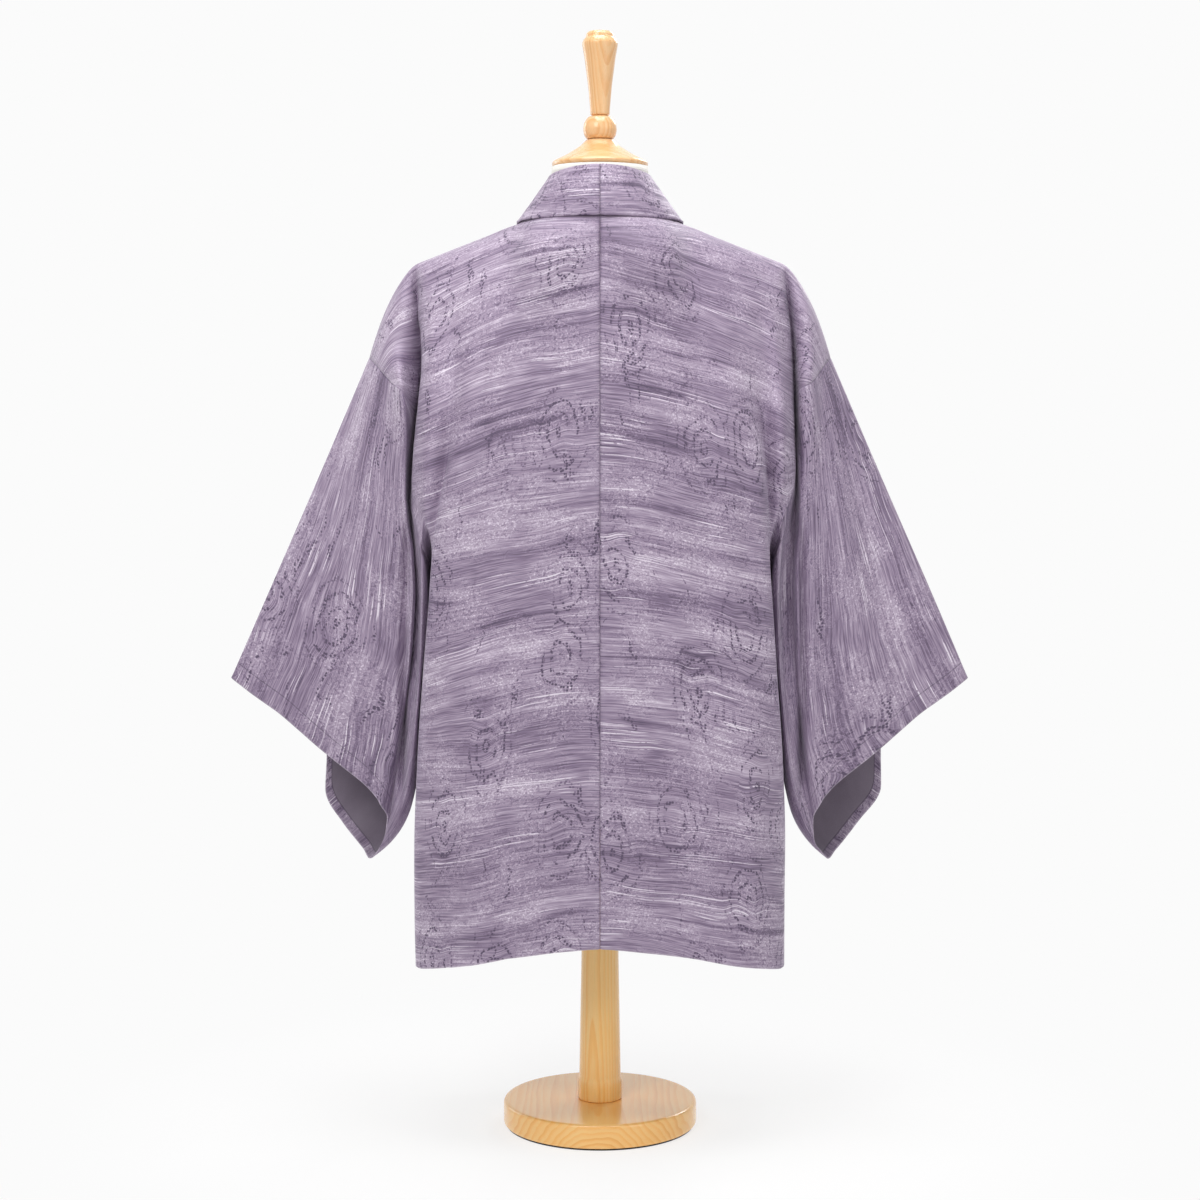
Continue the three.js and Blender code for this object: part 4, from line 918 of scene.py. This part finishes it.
def cloth(name, shift, hem, inside, long_way=False):
    n = Nodes(name)
    hem_d, seam_d, _ = n.split(n.uv("Edge"))
    hem_mm, seam_mm = n.mul(hem_d, 1000.0), n.mul(seam_d, 1000.0)
    tone, U, V = pattern(n, shift, long_way)
    colour = n.ramp(tone, [(0.0, DEEP), (0.27, DARK), (0.50, MID), (0.74, LIGHT), (1.0, PALE)])
    # threads
    weft = n.math("SINE", n.mul(V, 2 * math.pi / 0.9))
    warp = n.math("SINE", n.mul(U, 2 * math.pi / 0.9))
    weave = n.mul(n.add(weft, warp), 0.5)
    slub = n.noise(n.vec(n.mul(U, 1 / 9), n.mul(V, 1 / 0.7), 4.0), 1, 2, 0.6)
    height = n.add(n.mul(weave, 0.25), n.mul(slub, 1.0))
    if inside:
        lin = n.noise(n.vec(n.mul(U, 1 / 60), n.mul(V, 1 / 60), 9.0), 1, 3, 0.6)
        fine_w = n.noise(n.vec(n.mul(U, 1 / 1.1), n.mul(V, 1 / 1.1), 12.0), 1, 2, 0.6)
        plain = n.ramp(n.add(n.mul(lin, 0.6), n.mul(fine_w, 0.4)), [(0.25, srgb(104, 92, 108)), (0.75, srgb(136, 124, 140))])
        band = n.step(hem_mm, inside - 0.3, inside + 0.3)
        colour = n.mix(band, colour, plain)
        line = n.mul(n.step(hem_mm, inside - 1.0, inside - 0.2), n.step(hem_mm, inside + 1.0, inside + 0.2))
        colour = n.mix(n.mul(line, 0.75), colour, srgb(74, 64, 82))
        height = n.sub(height, n.mul(line, 2.5))
    if hem:
        line = n.mul(n.step(hem_mm, hem - 0.9, hem - 0.15), n.step(hem_mm, hem + 0.9, hem + 0.15))
        stitch = n.step(n.math("SINE", n.mul(U if hem < 0 else V, 2 * math.pi / 5.5)), -0.75, -0.35)
        line = n.mul(line, n.add(0.55, n.mul(stitch, 0.45)))
        colour = n.mix(n.mul(line, 0.62), colour, srgb(78, 66, 88))
        height = n.sub(height, n.mul(line, 2.6))
    # painted highlight: the pressed edge is painted a little paler along its fold, where light catches it; and a seam
    # holds painted shade
    fold = n.step(hem_mm, 1.6, 0.2)
    colour = n.mix(n.mul(fold, 0.22), colour, PALE)
    seam = n.step(seam_mm, 0.9, 0.1)
    colour = n.mix(n.mul(seam, 0.30), colour, srgb(84, 72, 94))
    n.set("Base Color", colour)
    n.set("Roughness", n.step(tone, 0.1, 0.9, 0.62, 0.46))
    n.set("Specular IOR Level", 0.42)
    n.set("Sheen Weight", 0.22)
    n.set("Sheen Roughness", 0.45)
    n.set("Sheen Tint", (0.94, 0.90, 1.0, 1))
    n.set("Normal", n.bump(height, 0.22, 0.0007))
    return n.m


def wood(name, axis, centre, ring, base=(236, 181, 121), deep=(212, 149, 82), pale=(242, 200, 148), gloss=0.24, seed=0.0, along=0.02):
    """Clear-lacquered light wood. The rings lie about a line along axis that passes through centre; ring is their spacing in mm."""
    n = Nodes(name)
    x, y, z = (n.mul(v, 1000.0) for v in n.split(n.obj()))
    c = {"x": x, "y": y, "z": z}
    a, b = [v for v in "xyz" if v != axis]
    pa, pb, pl = n.sub(c[a], centre[0]), n.sub(c[b], centre[1]), c[axis]
    wob = n.sub(n.noise(n.vec(n.mul(pa, 1 / 30), n.mul(pb, 1 / 30), n.add(n.mul(pl, 1 / 160), seed)), 1, 2, 0.5), 0.5)
    r = n.math("SQRT", n.add(n.mul(pa, pa), n.mul(pb, pb)))
    r = n.add(r, n.mul(wob, ring * 2.2))
    phase = n.mul(r, 1 / ring)
    late = n.math("FRACT", phase)
    late = n.mul(n.step(late, 0.25, 0.86), n.step(late, 1.0, 0.93))
    year = n.noise(n.vec(n.math("FLOOR", phase), seed, 0.0), 1.7, 0, 0.5)
    grain = n.noise(n.vec(n.mul(pa, 1 / 1.1), n.mul(pb, 1 / 1.1), n.add(n.mul(pl, along), seed)), 1, 3, 0.65)
    pore = n.step(n.noise(n.vec(n.mul(pa, 1 / 0.5), n.mul(pb, 1 / 0.5), n.mul(pl, 1 / 14)), 1, 1, 0.5), 0.66, 0.76)
    soft = n.noise(n.vec(n.mul(pa, 1 / 45), n.mul(pb, 1 / 45), n.add(n.mul(pl, 1 / 90), seed + 5)), 1, 2, 0.5)
    f = n.add(n.mul(n.mul(late, n.step(year, 0.3, 0.7, 0.35, 1.0)), 0.36), n.mul(grain, 0.34))
    f = n.add(f, n.mul(n.sub(soft, 0.5), 0.30))
    f = n.add(f, n.mul(pore, 0.12))
    colour = n.ramp(f, [(0.08, srgb(*pale)), (0.34, srgb(*base)), (0.86, srgb(*deep))])
    n.set("Base Color", colour)
    n.set("Roughness", n.step(grain, 0.3, 0.7, gloss, gloss + 0.09))
    n.set("Coat Weight", 0.45)
    n.set("Coat Roughness", 0.14)
    n.set("Specular IOR Level", 0.5)
    n.set("Normal", n.bump(n.sub(n.mul(grain, 0.6), n.mul(pore, 0.5)), 0.10, 0.0003))
    return n.m


def knit(name, colour, low, scale, rough):
    """A plain close knit or felt."""
    n = Nodes(name)
    x, y, z = (n.mul(v, 1000.0) for v in n.split(n.obj()))
    ang = n.mul(n.math("ARCTAN2", y, x), 95.0)
    wale = n.math("SINE", n.mul(ang, 2 * math.pi / scale))
    course = n.math("SINE", n.add(n.mul(z, 2 * math.pi / (scale * 0.8)), n.mul(wale, 0.9)))
    mottled = n.noise(n.vec(n.mul(x, 1 / 70), n.mul(y, 1 / 70), n.mul(z, 1 / 70)), 1, 3, 0.6)
    fuzz = n.noise(n.vec(x, y, z), 1.6, 2, 0.7)
    f = n.add(n.mul(mottled, 0.55), n.mul(fuzz, 0.45))
    n.set("Base Color", n.ramp(f, [(0.3, srgb(*low)), (0.65, srgb(*colour))]))
    n.set("Roughness", rough)
    n.set("Sheen Weight", 0.15)
    n.set("Sheen Roughness", 0.5)
    n.set("Normal", n.bump(n.add(n.add(n.mul(wale, 0.4), n.mul(course, 0.3)), n.mul(fuzz, 0.8)), 0.25, 0.0004))
    return n.m


# ---- the jacket -----------------------------------------------------------------------------
def seam_directions(body, sleeve):
    """Shared offset directions along the armhole, so that the two walls meet edge to edge."""
    nb, ns = body.normals(), sleeve.normals()
    both = []
    for bi, si in ((body.armhole_back, sleeve.arm_back), (body.armhole_front, sleeve.arm_front)):
        m = unit(nb[bi] + ns[si])
        k = 1 / np.maximum(0.62, (m * nb[bi]).sum(1, keepdims=True))
        both.append((bi, si, m * k))
    return both


outer = {
    "left": cloth("haori_back_left", (0, 0, 0), None, None),
    "right": cloth("haori_back_right", (613, 347, 40), None, None),
}
inner = {
    "left": cloth("haori_inside_left", (0, 0, 0), None, 14.0),
    "right": cloth("haori_inside_right", (613, 347, 40), None, 14.0),
}
sleeve_outer = {
    "left": cloth("haori_sleeve_left", (90, 1240, 80), 17.5, None, True),
    "right": cloth("haori_sleeve_right", (1710, 450, 120), 17.5, None, True),
}
sleeve_inner = {
    "left": cloth("haori_sleeve_inside_left", (90, 1240, 80), None, 9.5, True),
    "right": cloth("haori_sleeve_inside_right", (1710, 450, 120), None, 9.5, True),
}
collar_cloth = {
    "left": cloth("haori_collar_left", (37, 2210, 160), None, None),
    "right": cloth("haori_collar_right", (911, 2870, 200), None, None),
}


def gusset_sheet(body):
    a, b = body.p[body.side_back], body.p[body.side_front]
    m = min(len(a), len(b))
    ka, kb = np.linspace(0, 1, len(a)), np.linspace(0, 1, len(b))
    k = np.linspace(0, 1, m)
    a = np.stack([np.interp(k, ka, a[:, i]) for i in range(3)], 1)
    b = np.stack([np.interp(k, kb, b[:, i]) for i in range(3)], 1)
    c = np.linspace(0.004, 0.996, 13)
    p = a[:, None] + (b - a)[:, None] * c[None, :, None]
    p[..., 0] += 1.2 * np.sin(np.pi * c)[None] * (0.6 + 0.4 * np.sin(k * 9)[:, None])
    p = off_form(p)
    grid = np.arange(m * 13).reshape(m, 13)
    z = p[:, 6, 2]
    uv = np.zeros((m, 13, 4))
    uv[..., 0] = 700 + np.linalg.norm(a - b, axis=1)[:, None] * (c - 0.5)[None]
    uv[..., 1] = (-z)[:, None]
    uv[..., 2] = (z - z[-1])[:, None]
    uv[..., 3] = np.minimum(c, 1 - c)[None] * np.linalg.norm(a - b, axis=1)[:, None]
    return Sheet(p.reshape(-1, 3), uv.reshape(-1, 4), grid, flip=True)


def collar_sheet(side, body):
    front = body.front
    rows_front = front.zk[1:]
    edge = front.at(rows_front, [NECK_C])[:, 0]
    fold = np.concatenate([NECK[:, 4:7], np.stack([BAND_EDGE[:, 0], edge[:, 1] + BAND_EDGE[:, 1], edge[:, 2] + BAND_EDGE[:, 2]], 1)])
    knots = np.concatenate([(NECK[:, 0] - 1), rows_front])
    hk = np.concatenate([(NECK[:, 0] - 1) * 120, rows_front])
    size = 3
    length = np.linalg.norm(np.diff(fold, axis=0), axis=1)
    q = fine(knots, [max(3, int(round(v / (size * 1)))) for v in length])
    c = np.linspace(0, 1, 27)
    low = np.where((q <= 0)[:, None], pchip(NECK[:, 0], NECK[:, 1:4], np.clip(1 + q, 0, 1)), 0.0)
    pos = q > 0
    low[pos] = front.at(q[pos], [NECK_C])[:, 0]
    high = pchip(hk, fold, np.where(q <= 0, q * 120, q))
    clear = CLOTH / 2 + BAND / 2 + 0.45
    level = np.minimum(1, abs(low[:, 1]) / 60)
    up = 1 + (np.where(low[:, 1] > 0, 0.25, 0.05) - 1) * level
    o = unit(np.stack([0.3 * (1 - level) + 0.002 * low[:, 0] * level, np.sign(low[:, 1]) * level, up], 1)) * clear
    a = low + o
    p = a[:, None] + (high - a)[:, None] * c[None, :, None]
    lean = np.sign(low[:, 1]) * np.minimum(1, abs(low[:, 1]) / 30)
    p[..., 1] += (lean * 2.6)[:, None] * np.sin(np.pi * c)[None]
    p[0, :, 0] = EDGE
    grid = np.arange(p.shape[0] * p.shape[1]).reshape(p.shape[:2])
    along = np.concatenate([[0], np.cumsum(np.linalg.norm(np.diff(p[:, 13], axis=0), axis=1))])
    width = np.linalg.norm(np.diff(p, axis=1), axis=2)
    width = np.concatenate([np.zeros((len(q), 1)), np.cumsum(width, 1)], 1)
    uv = np.zeros(p.shape[:2] + (4,))
    # the streaks run along the band
    uv[..., 0] = along[:, None]
    uv[..., 1] = width
    uv[..., 2] = 30.0
    uv[..., 3] = np.minimum(along[:, None], 1e3)
    s = Sheet(p.reshape(-1, 3), uv.reshape(-1, 4), grid, flip=True)
    s.flip = True
    n = s.normals()
    lift = 0.5 * bumps(along[:, None] + 0 * width, width, 71 if side == "left" else 83, 60, 30) * np.sin(np.pi * c)[None] * smoothstep(along / 25)[:, None]
    s.p += n * lift.reshape(-1, 1)
    s.around(10)
    s.p[grid[0], 0] = EDGE
    return s


pieces = {}
for side in ("left", "right"):
    mirror = side == "right"
    body = body_sheet(side)
    sleeve = sleeve_sheet(side, body)
    dirs = seam_directions(body, sleeve)
    bi = np.concatenate([d[0] for d in dirs])
    si = np.concatenate([d[1] for d in dirs])
    nn = np.concatenate([d[2] for d in dirs])
    centre = body.grid[: body.nb, 0]
    sides = np.concatenate([body.side_back, body.side_front])
    pieces["body_" + side] = shell("haori_body_" + side, body, CLOTH, mirror, [outer[side], inner[side]],
                                   (bi, nn), [(bi, 0.35), (centre, 0.45), (sides, 0.3)])
    pieces["sleeve_" + side] = shell("haori_sleeve_" + side, sleeve, CLOTH, mirror, [sleeve_outer[side], sleeve_inner[side]],
                                     (si, nn), [(si, 0.35)])
    gusset = gusset_sheet(body)
    pieces["gusset_" + side] = shell("haori_gusset_" + side, gusset, CLOTH, mirror, [outer[side], inner[side]])
    band = collar_sheet(side, body)
    pieces["collar_" + side] = shell("haori_collar_" + side, band, BAND, mirror, [collar_cloth[side], collar_cloth[side]],
                                     None, [(band.grid[0], 0.5)])

for key, o in pieces.items():
    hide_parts(key)
    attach(o, "root")

# ---- the form -------------------------------------------------------------------------------
def superellipse(a, b, m, w, around):
    t = 2 * math.pi * np.arange(around) / around
    c, s = np.cos(t), np.sin(t)
    return a * np.sign(c) * abs(c) ** (2 / w), m + b * np.sign(s) * abs(s) ** (2 / w)


def form():
    around = 96
    z = fine(TORSO[:, 0], [max(2, int(round((b - a) / 6))) for a, b in zip(TORSO[:-1, 0], TORSO[1:, 0])])
    A, B, M, W = torso_at(z)
    rings = [np.stack([*superellipse(a, b, m, w, around), np.full(around, h)], 1) for a, b, m, w, h in zip(A, B, M, W, z)]
    # flat ends in narrowing rings
    low = [np.stack([*superellipse(A[0] * k, B[0] * k, M[0], W[0], around), np.full(around, z[0])], 1) for k in (0.02, 0.3, 0.6, 0.85)]
    high = [np.stack([*superellipse(A[-1] * k, B[-1] * k, M[-1], W[-1], around), np.full(around, z[-1])], 1) for k in (0.97, 0.6, 0.02)]
    p = np.concatenate(low + rings + high)
    n = len(low) + len(rings) + len(high)
    return p / 1000, grid_faces(n, around, closed=True)


cover = knit("form_jersey", (250, 248, 242), (240, 237, 229), 1.3, 0.85)
p, f = form()
torso = make("form_cover", p, f, [cover])
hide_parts("form_torso")
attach(torso, "root")


# ---- the stand ------------------------------------------------------------------------------
def rounded(profile, steps=4, radius=0.35):
    """Profile with its corners eased by quadratic arcs."""
    pts = np.array(profile, float)
    out = [pts[0]]
    for i in range(1, len(pts) - 1):
        a, b, c = pts[i - 1], pts[i], pts[i + 1]
        p, q = b + (a - b) * min(radius, 3.5 / max(1e-6, np.linalg.norm(a - b))), b + (c - b) * min(radius, 3.5 / max(1e-6, np.linalg.norm(c - b)))
        for t in np.linspace(0, 1, steps + 1):
            out.append((1 - t) ** 2 * p + 2 * t * (1 - t) * b + t * t * q)
    out.append(pts[-1])
    # long straight runs get points between
    dense = [out[0]]
    for a, b in zip(out[:-1], out[1:]):
        k = max(1, int(np.linalg.norm(b - a) / 12))
        dense += [a + (b - a) * j / k for j in range(1, k + 1)]
    return np.array(dense)


def turned(name, profile, mats, around=96, steps=4):
    pr = rounded(profile, steps)
    pr[:, 0] = np.maximum(pr[:, 0], 0.02)
    t = 2 * math.pi * np.arange(around) / around
    p = np.stack([np.outer(pr[:, 0], np.cos(t)), np.outer(pr[:, 0], np.sin(t)), np.repeat(pr[:, 1:2], around, 1)], -1).reshape(-1, 3)
    o = make(name, p / 1000, grid_faces(len(pr), around, closed=True), mats)
    return o


WOODS = {
    "neck_cap": wood("wood_cap", "x", (0, 985), 5.5, seed=3.0),
    "neck_ball": wood("wood_ball", "z", (34, 66), 3.4, seed=7.0),
    "handle": wood("wood_handle", "z", (-38, 62), 3.2, seed=11.0),
    "column": wood("wood_column", "z", (12, 34), 4.0, base=(255, 198, 110), deep=(234, 160, 72), pale=(255, 214, 142), seed=17.0),
    "base": wood("wood_base", "y", (2, -22), 6.2, base=(252, 189, 104), deep=(230, 155, 68), pale=(254, 205, 130), gloss=0.17, seed=23.0),
}
PROFILES = {
    "neck_cap": [[0, 1002.3], [48.2, 1002.3], [49.3, 1003.2], [49.3, 1006.2], [47, 1008.2], [34, 1014.5], [20.5, 1023], [15, 1028.6], [13.6, 1029.8], [0, 1029.8]],
    "neck_ball": [[0, 1030.1], [13.8, 1030.1], [16.3, 1034], [17.4, 1040], [16.6, 1046], [13.8, 1051], [10.4, 1053.6], [0, 1053.6]],
    "handle": [[0, 1053.9], [9.9, 1053.9], [10.1, 1060], [12.2, 1084], [16.2, 1114], [18.1, 1124], [18.3, 1127.5], [16.6, 1131.2], [14.4, 1133.4], [14.3, 1136.4], [11.6, 1139.3], [0, 1140]],
    "column": [[0, 27.1], [22.6, 27.1], [23.2, 28.4], [23, 48], [21.9, 52], [19.8, 170], [18.6, 240], [17.8, 329.8], [0, 329.8]],
    "base": [[0, 2.1], [100.6, 2.1], [101.9, 3.8], [101.9, 23.4], [101, 25.8], [98.6, 27], [0, 27]],
}
for key, profile in PROFILES.items():
    o = turned("stand_" + key, profile, [WOODS[key]], 192 if key == "base" else 96)
    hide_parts(key)
    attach(o, "root")
felt = turned("stand_felt", [[0, 0], [99.5, 0], [99.5, 2], [0, 2]], [knit("felt", (52, 48, 46), (36, 33, 32), 2.2, 0.95)], 192)
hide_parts("base_felt")
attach(felt, "root")

# ---- studio ------------------------------------------------------------------------------------
WHITE = 0.965


def disc(name, radii, around=64, drop=0.0):
    t = 2 * math.pi * np.arange(around) / around
    p = np.stack([np.outer(radii, np.cos(t)), np.outer(radii, np.sin(t)), np.full((len(radii), around), drop)], -1).reshape(-1, 3)
    return p, grid_faces(len(radii), around, closed=True)


def backdrop():
    """A pale floor that melts into a plain pale surround."""
    n = Nodes("studio_floor")
    n.set("Base Color", (0.25, 0.25, 0.25, 1))
    n.set("Roughness", 0.9)
    n.set("Specular IOR Level", 0.1)
    n.set("Emission Color", (1, 1, 1, 1))
    n.set("Emission Strength", FLOOR_GLOW)
    x, y, _ = n.split(n.obj())
    r = n.math("SQRT", n.add(n.mul(x, x), n.mul(y, y)))
    glow = n.t.nodes.new("ShaderNodeEmission")
    glow.inputs["Color"].default_value = (1, 1, 1, 1)
    glow.inputs["Strength"].default_value = WHITE
    blend = n.t.nodes.new("ShaderNodeMixShader")
    n.put(blend.inputs[0], n.step(r, 0.22, 0.62))
    n.t.links.new(n.bsdf.outputs[0], blend.inputs[1])
    n.t.links.new(glow.outputs[0], blend.inputs[2])
    n.t.links.new(blend.outputs[0], n.out.inputs[0])
    p, f = disc("floor", np.array([0.001, 0.1, 0.2, 0.4, 0.7, 1.1, 1.8, 3.0, 5.0, 8.0, 12.0]))
    o = make("studio_floor", p, f, [n.m])
    g = Nodes("studio_surround")
    e = g.t.nodes.new("ShaderNodeEmission")
    e.inputs["Color"].default_value = (1, 1, 1, 1)
    e.inputs["Strength"].default_value = WHITE
    g.t.links.new(e.outputs[0], g.out.inputs[0])
    around, up = 48, 24
    t, h = 2 * math.pi * np.arange(around) / around, math.pi * (np.arange(up + 1) / up - 0.5)
    h = np.clip(h, -1.56, 1.56)
    q = 14 * np.stack([np.outer(np.cos(h), np.cos(t)), np.outer(np.cos(h), np.sin(t)), np.repeat(np.sin(h)[:, None], around, 1)], -1).reshape(-1, 3)
    d = make("studio_surround", q, grid_faces(up + 1, around, closed=True), [g.m])
    d.visible_diffuse = d.visible_shadow = d.visible_transmission = False


FLOOR_GLOW = 0.725
backdrop()
world = bpy.data.worlds.new("studio")
bpy.context.scene.world = world
world.use_nodes = True
bg = world.node_tree.nodes["Background"]
bg.inputs["Color"].default_value = (1.0, 1.0, 1.0, 1)
bg.inputs["Strength"].default_value = 0.20


def softbox(name, at, to, size, power, colour=(1, 1, 1)):
    data = bpy.data.lights.new(name, "AREA")
    data.shape, data.size, data.size_y, data.energy, data.color = "RECTANGLE", size[0], size[1], power, colour
    o = bpy.data.objects.new(name, data)
    bpy.context.scene.collection.objects.link(o)
    from mathutils import Vector
    o.location = at
    o.rotation_euler = (Vector(to) - Vector(at)).to_track_quat("-Z", "Y").to_euler()
    return o


softbox("key", (1.3, 2.5, 2.5), (0, 0, 0.8), (1.3, 1.3), 35)
softbox("fill", (-2.0, 2.2, 1.5), (0, 0, 0.7), (1.2, 1.8), 10)
softbox("front_key", (-1.5, -2.4, 2.4), (0, 0, 0.8), (1.3, 1.3), 29)
softbox("front_fill", (2.2, -1.9, 1.4), (0, 0, 0.7), (1.2, 1.6), 12)
softbox("top", (0.0, 0.3, 3.0), (0, 0, 0.8), (1.6, 1.6), 49)

scene = bpy.context.scene
scene.view_settings.view_transform = "Standard"
scene.view_settings.look = "None"
scene.view_settings.exposure = 0.0
scene.view_settings.gamma = 1.0

cam = bpy.data.cameras.new("camera")
cam.lens, cam.sensor_width = 71.29, 36.0
cam.clip_start, cam.clip_end = 0.05, 60
camera = bpy.data.objects.new("camera", cam)
scene.collection.objects.link(camera)
camera.location = (0, 2.470, 0.748)
camera.rotation_euler = (math.radians(85.544), 0, math.radians(180))
scene.camera = camera
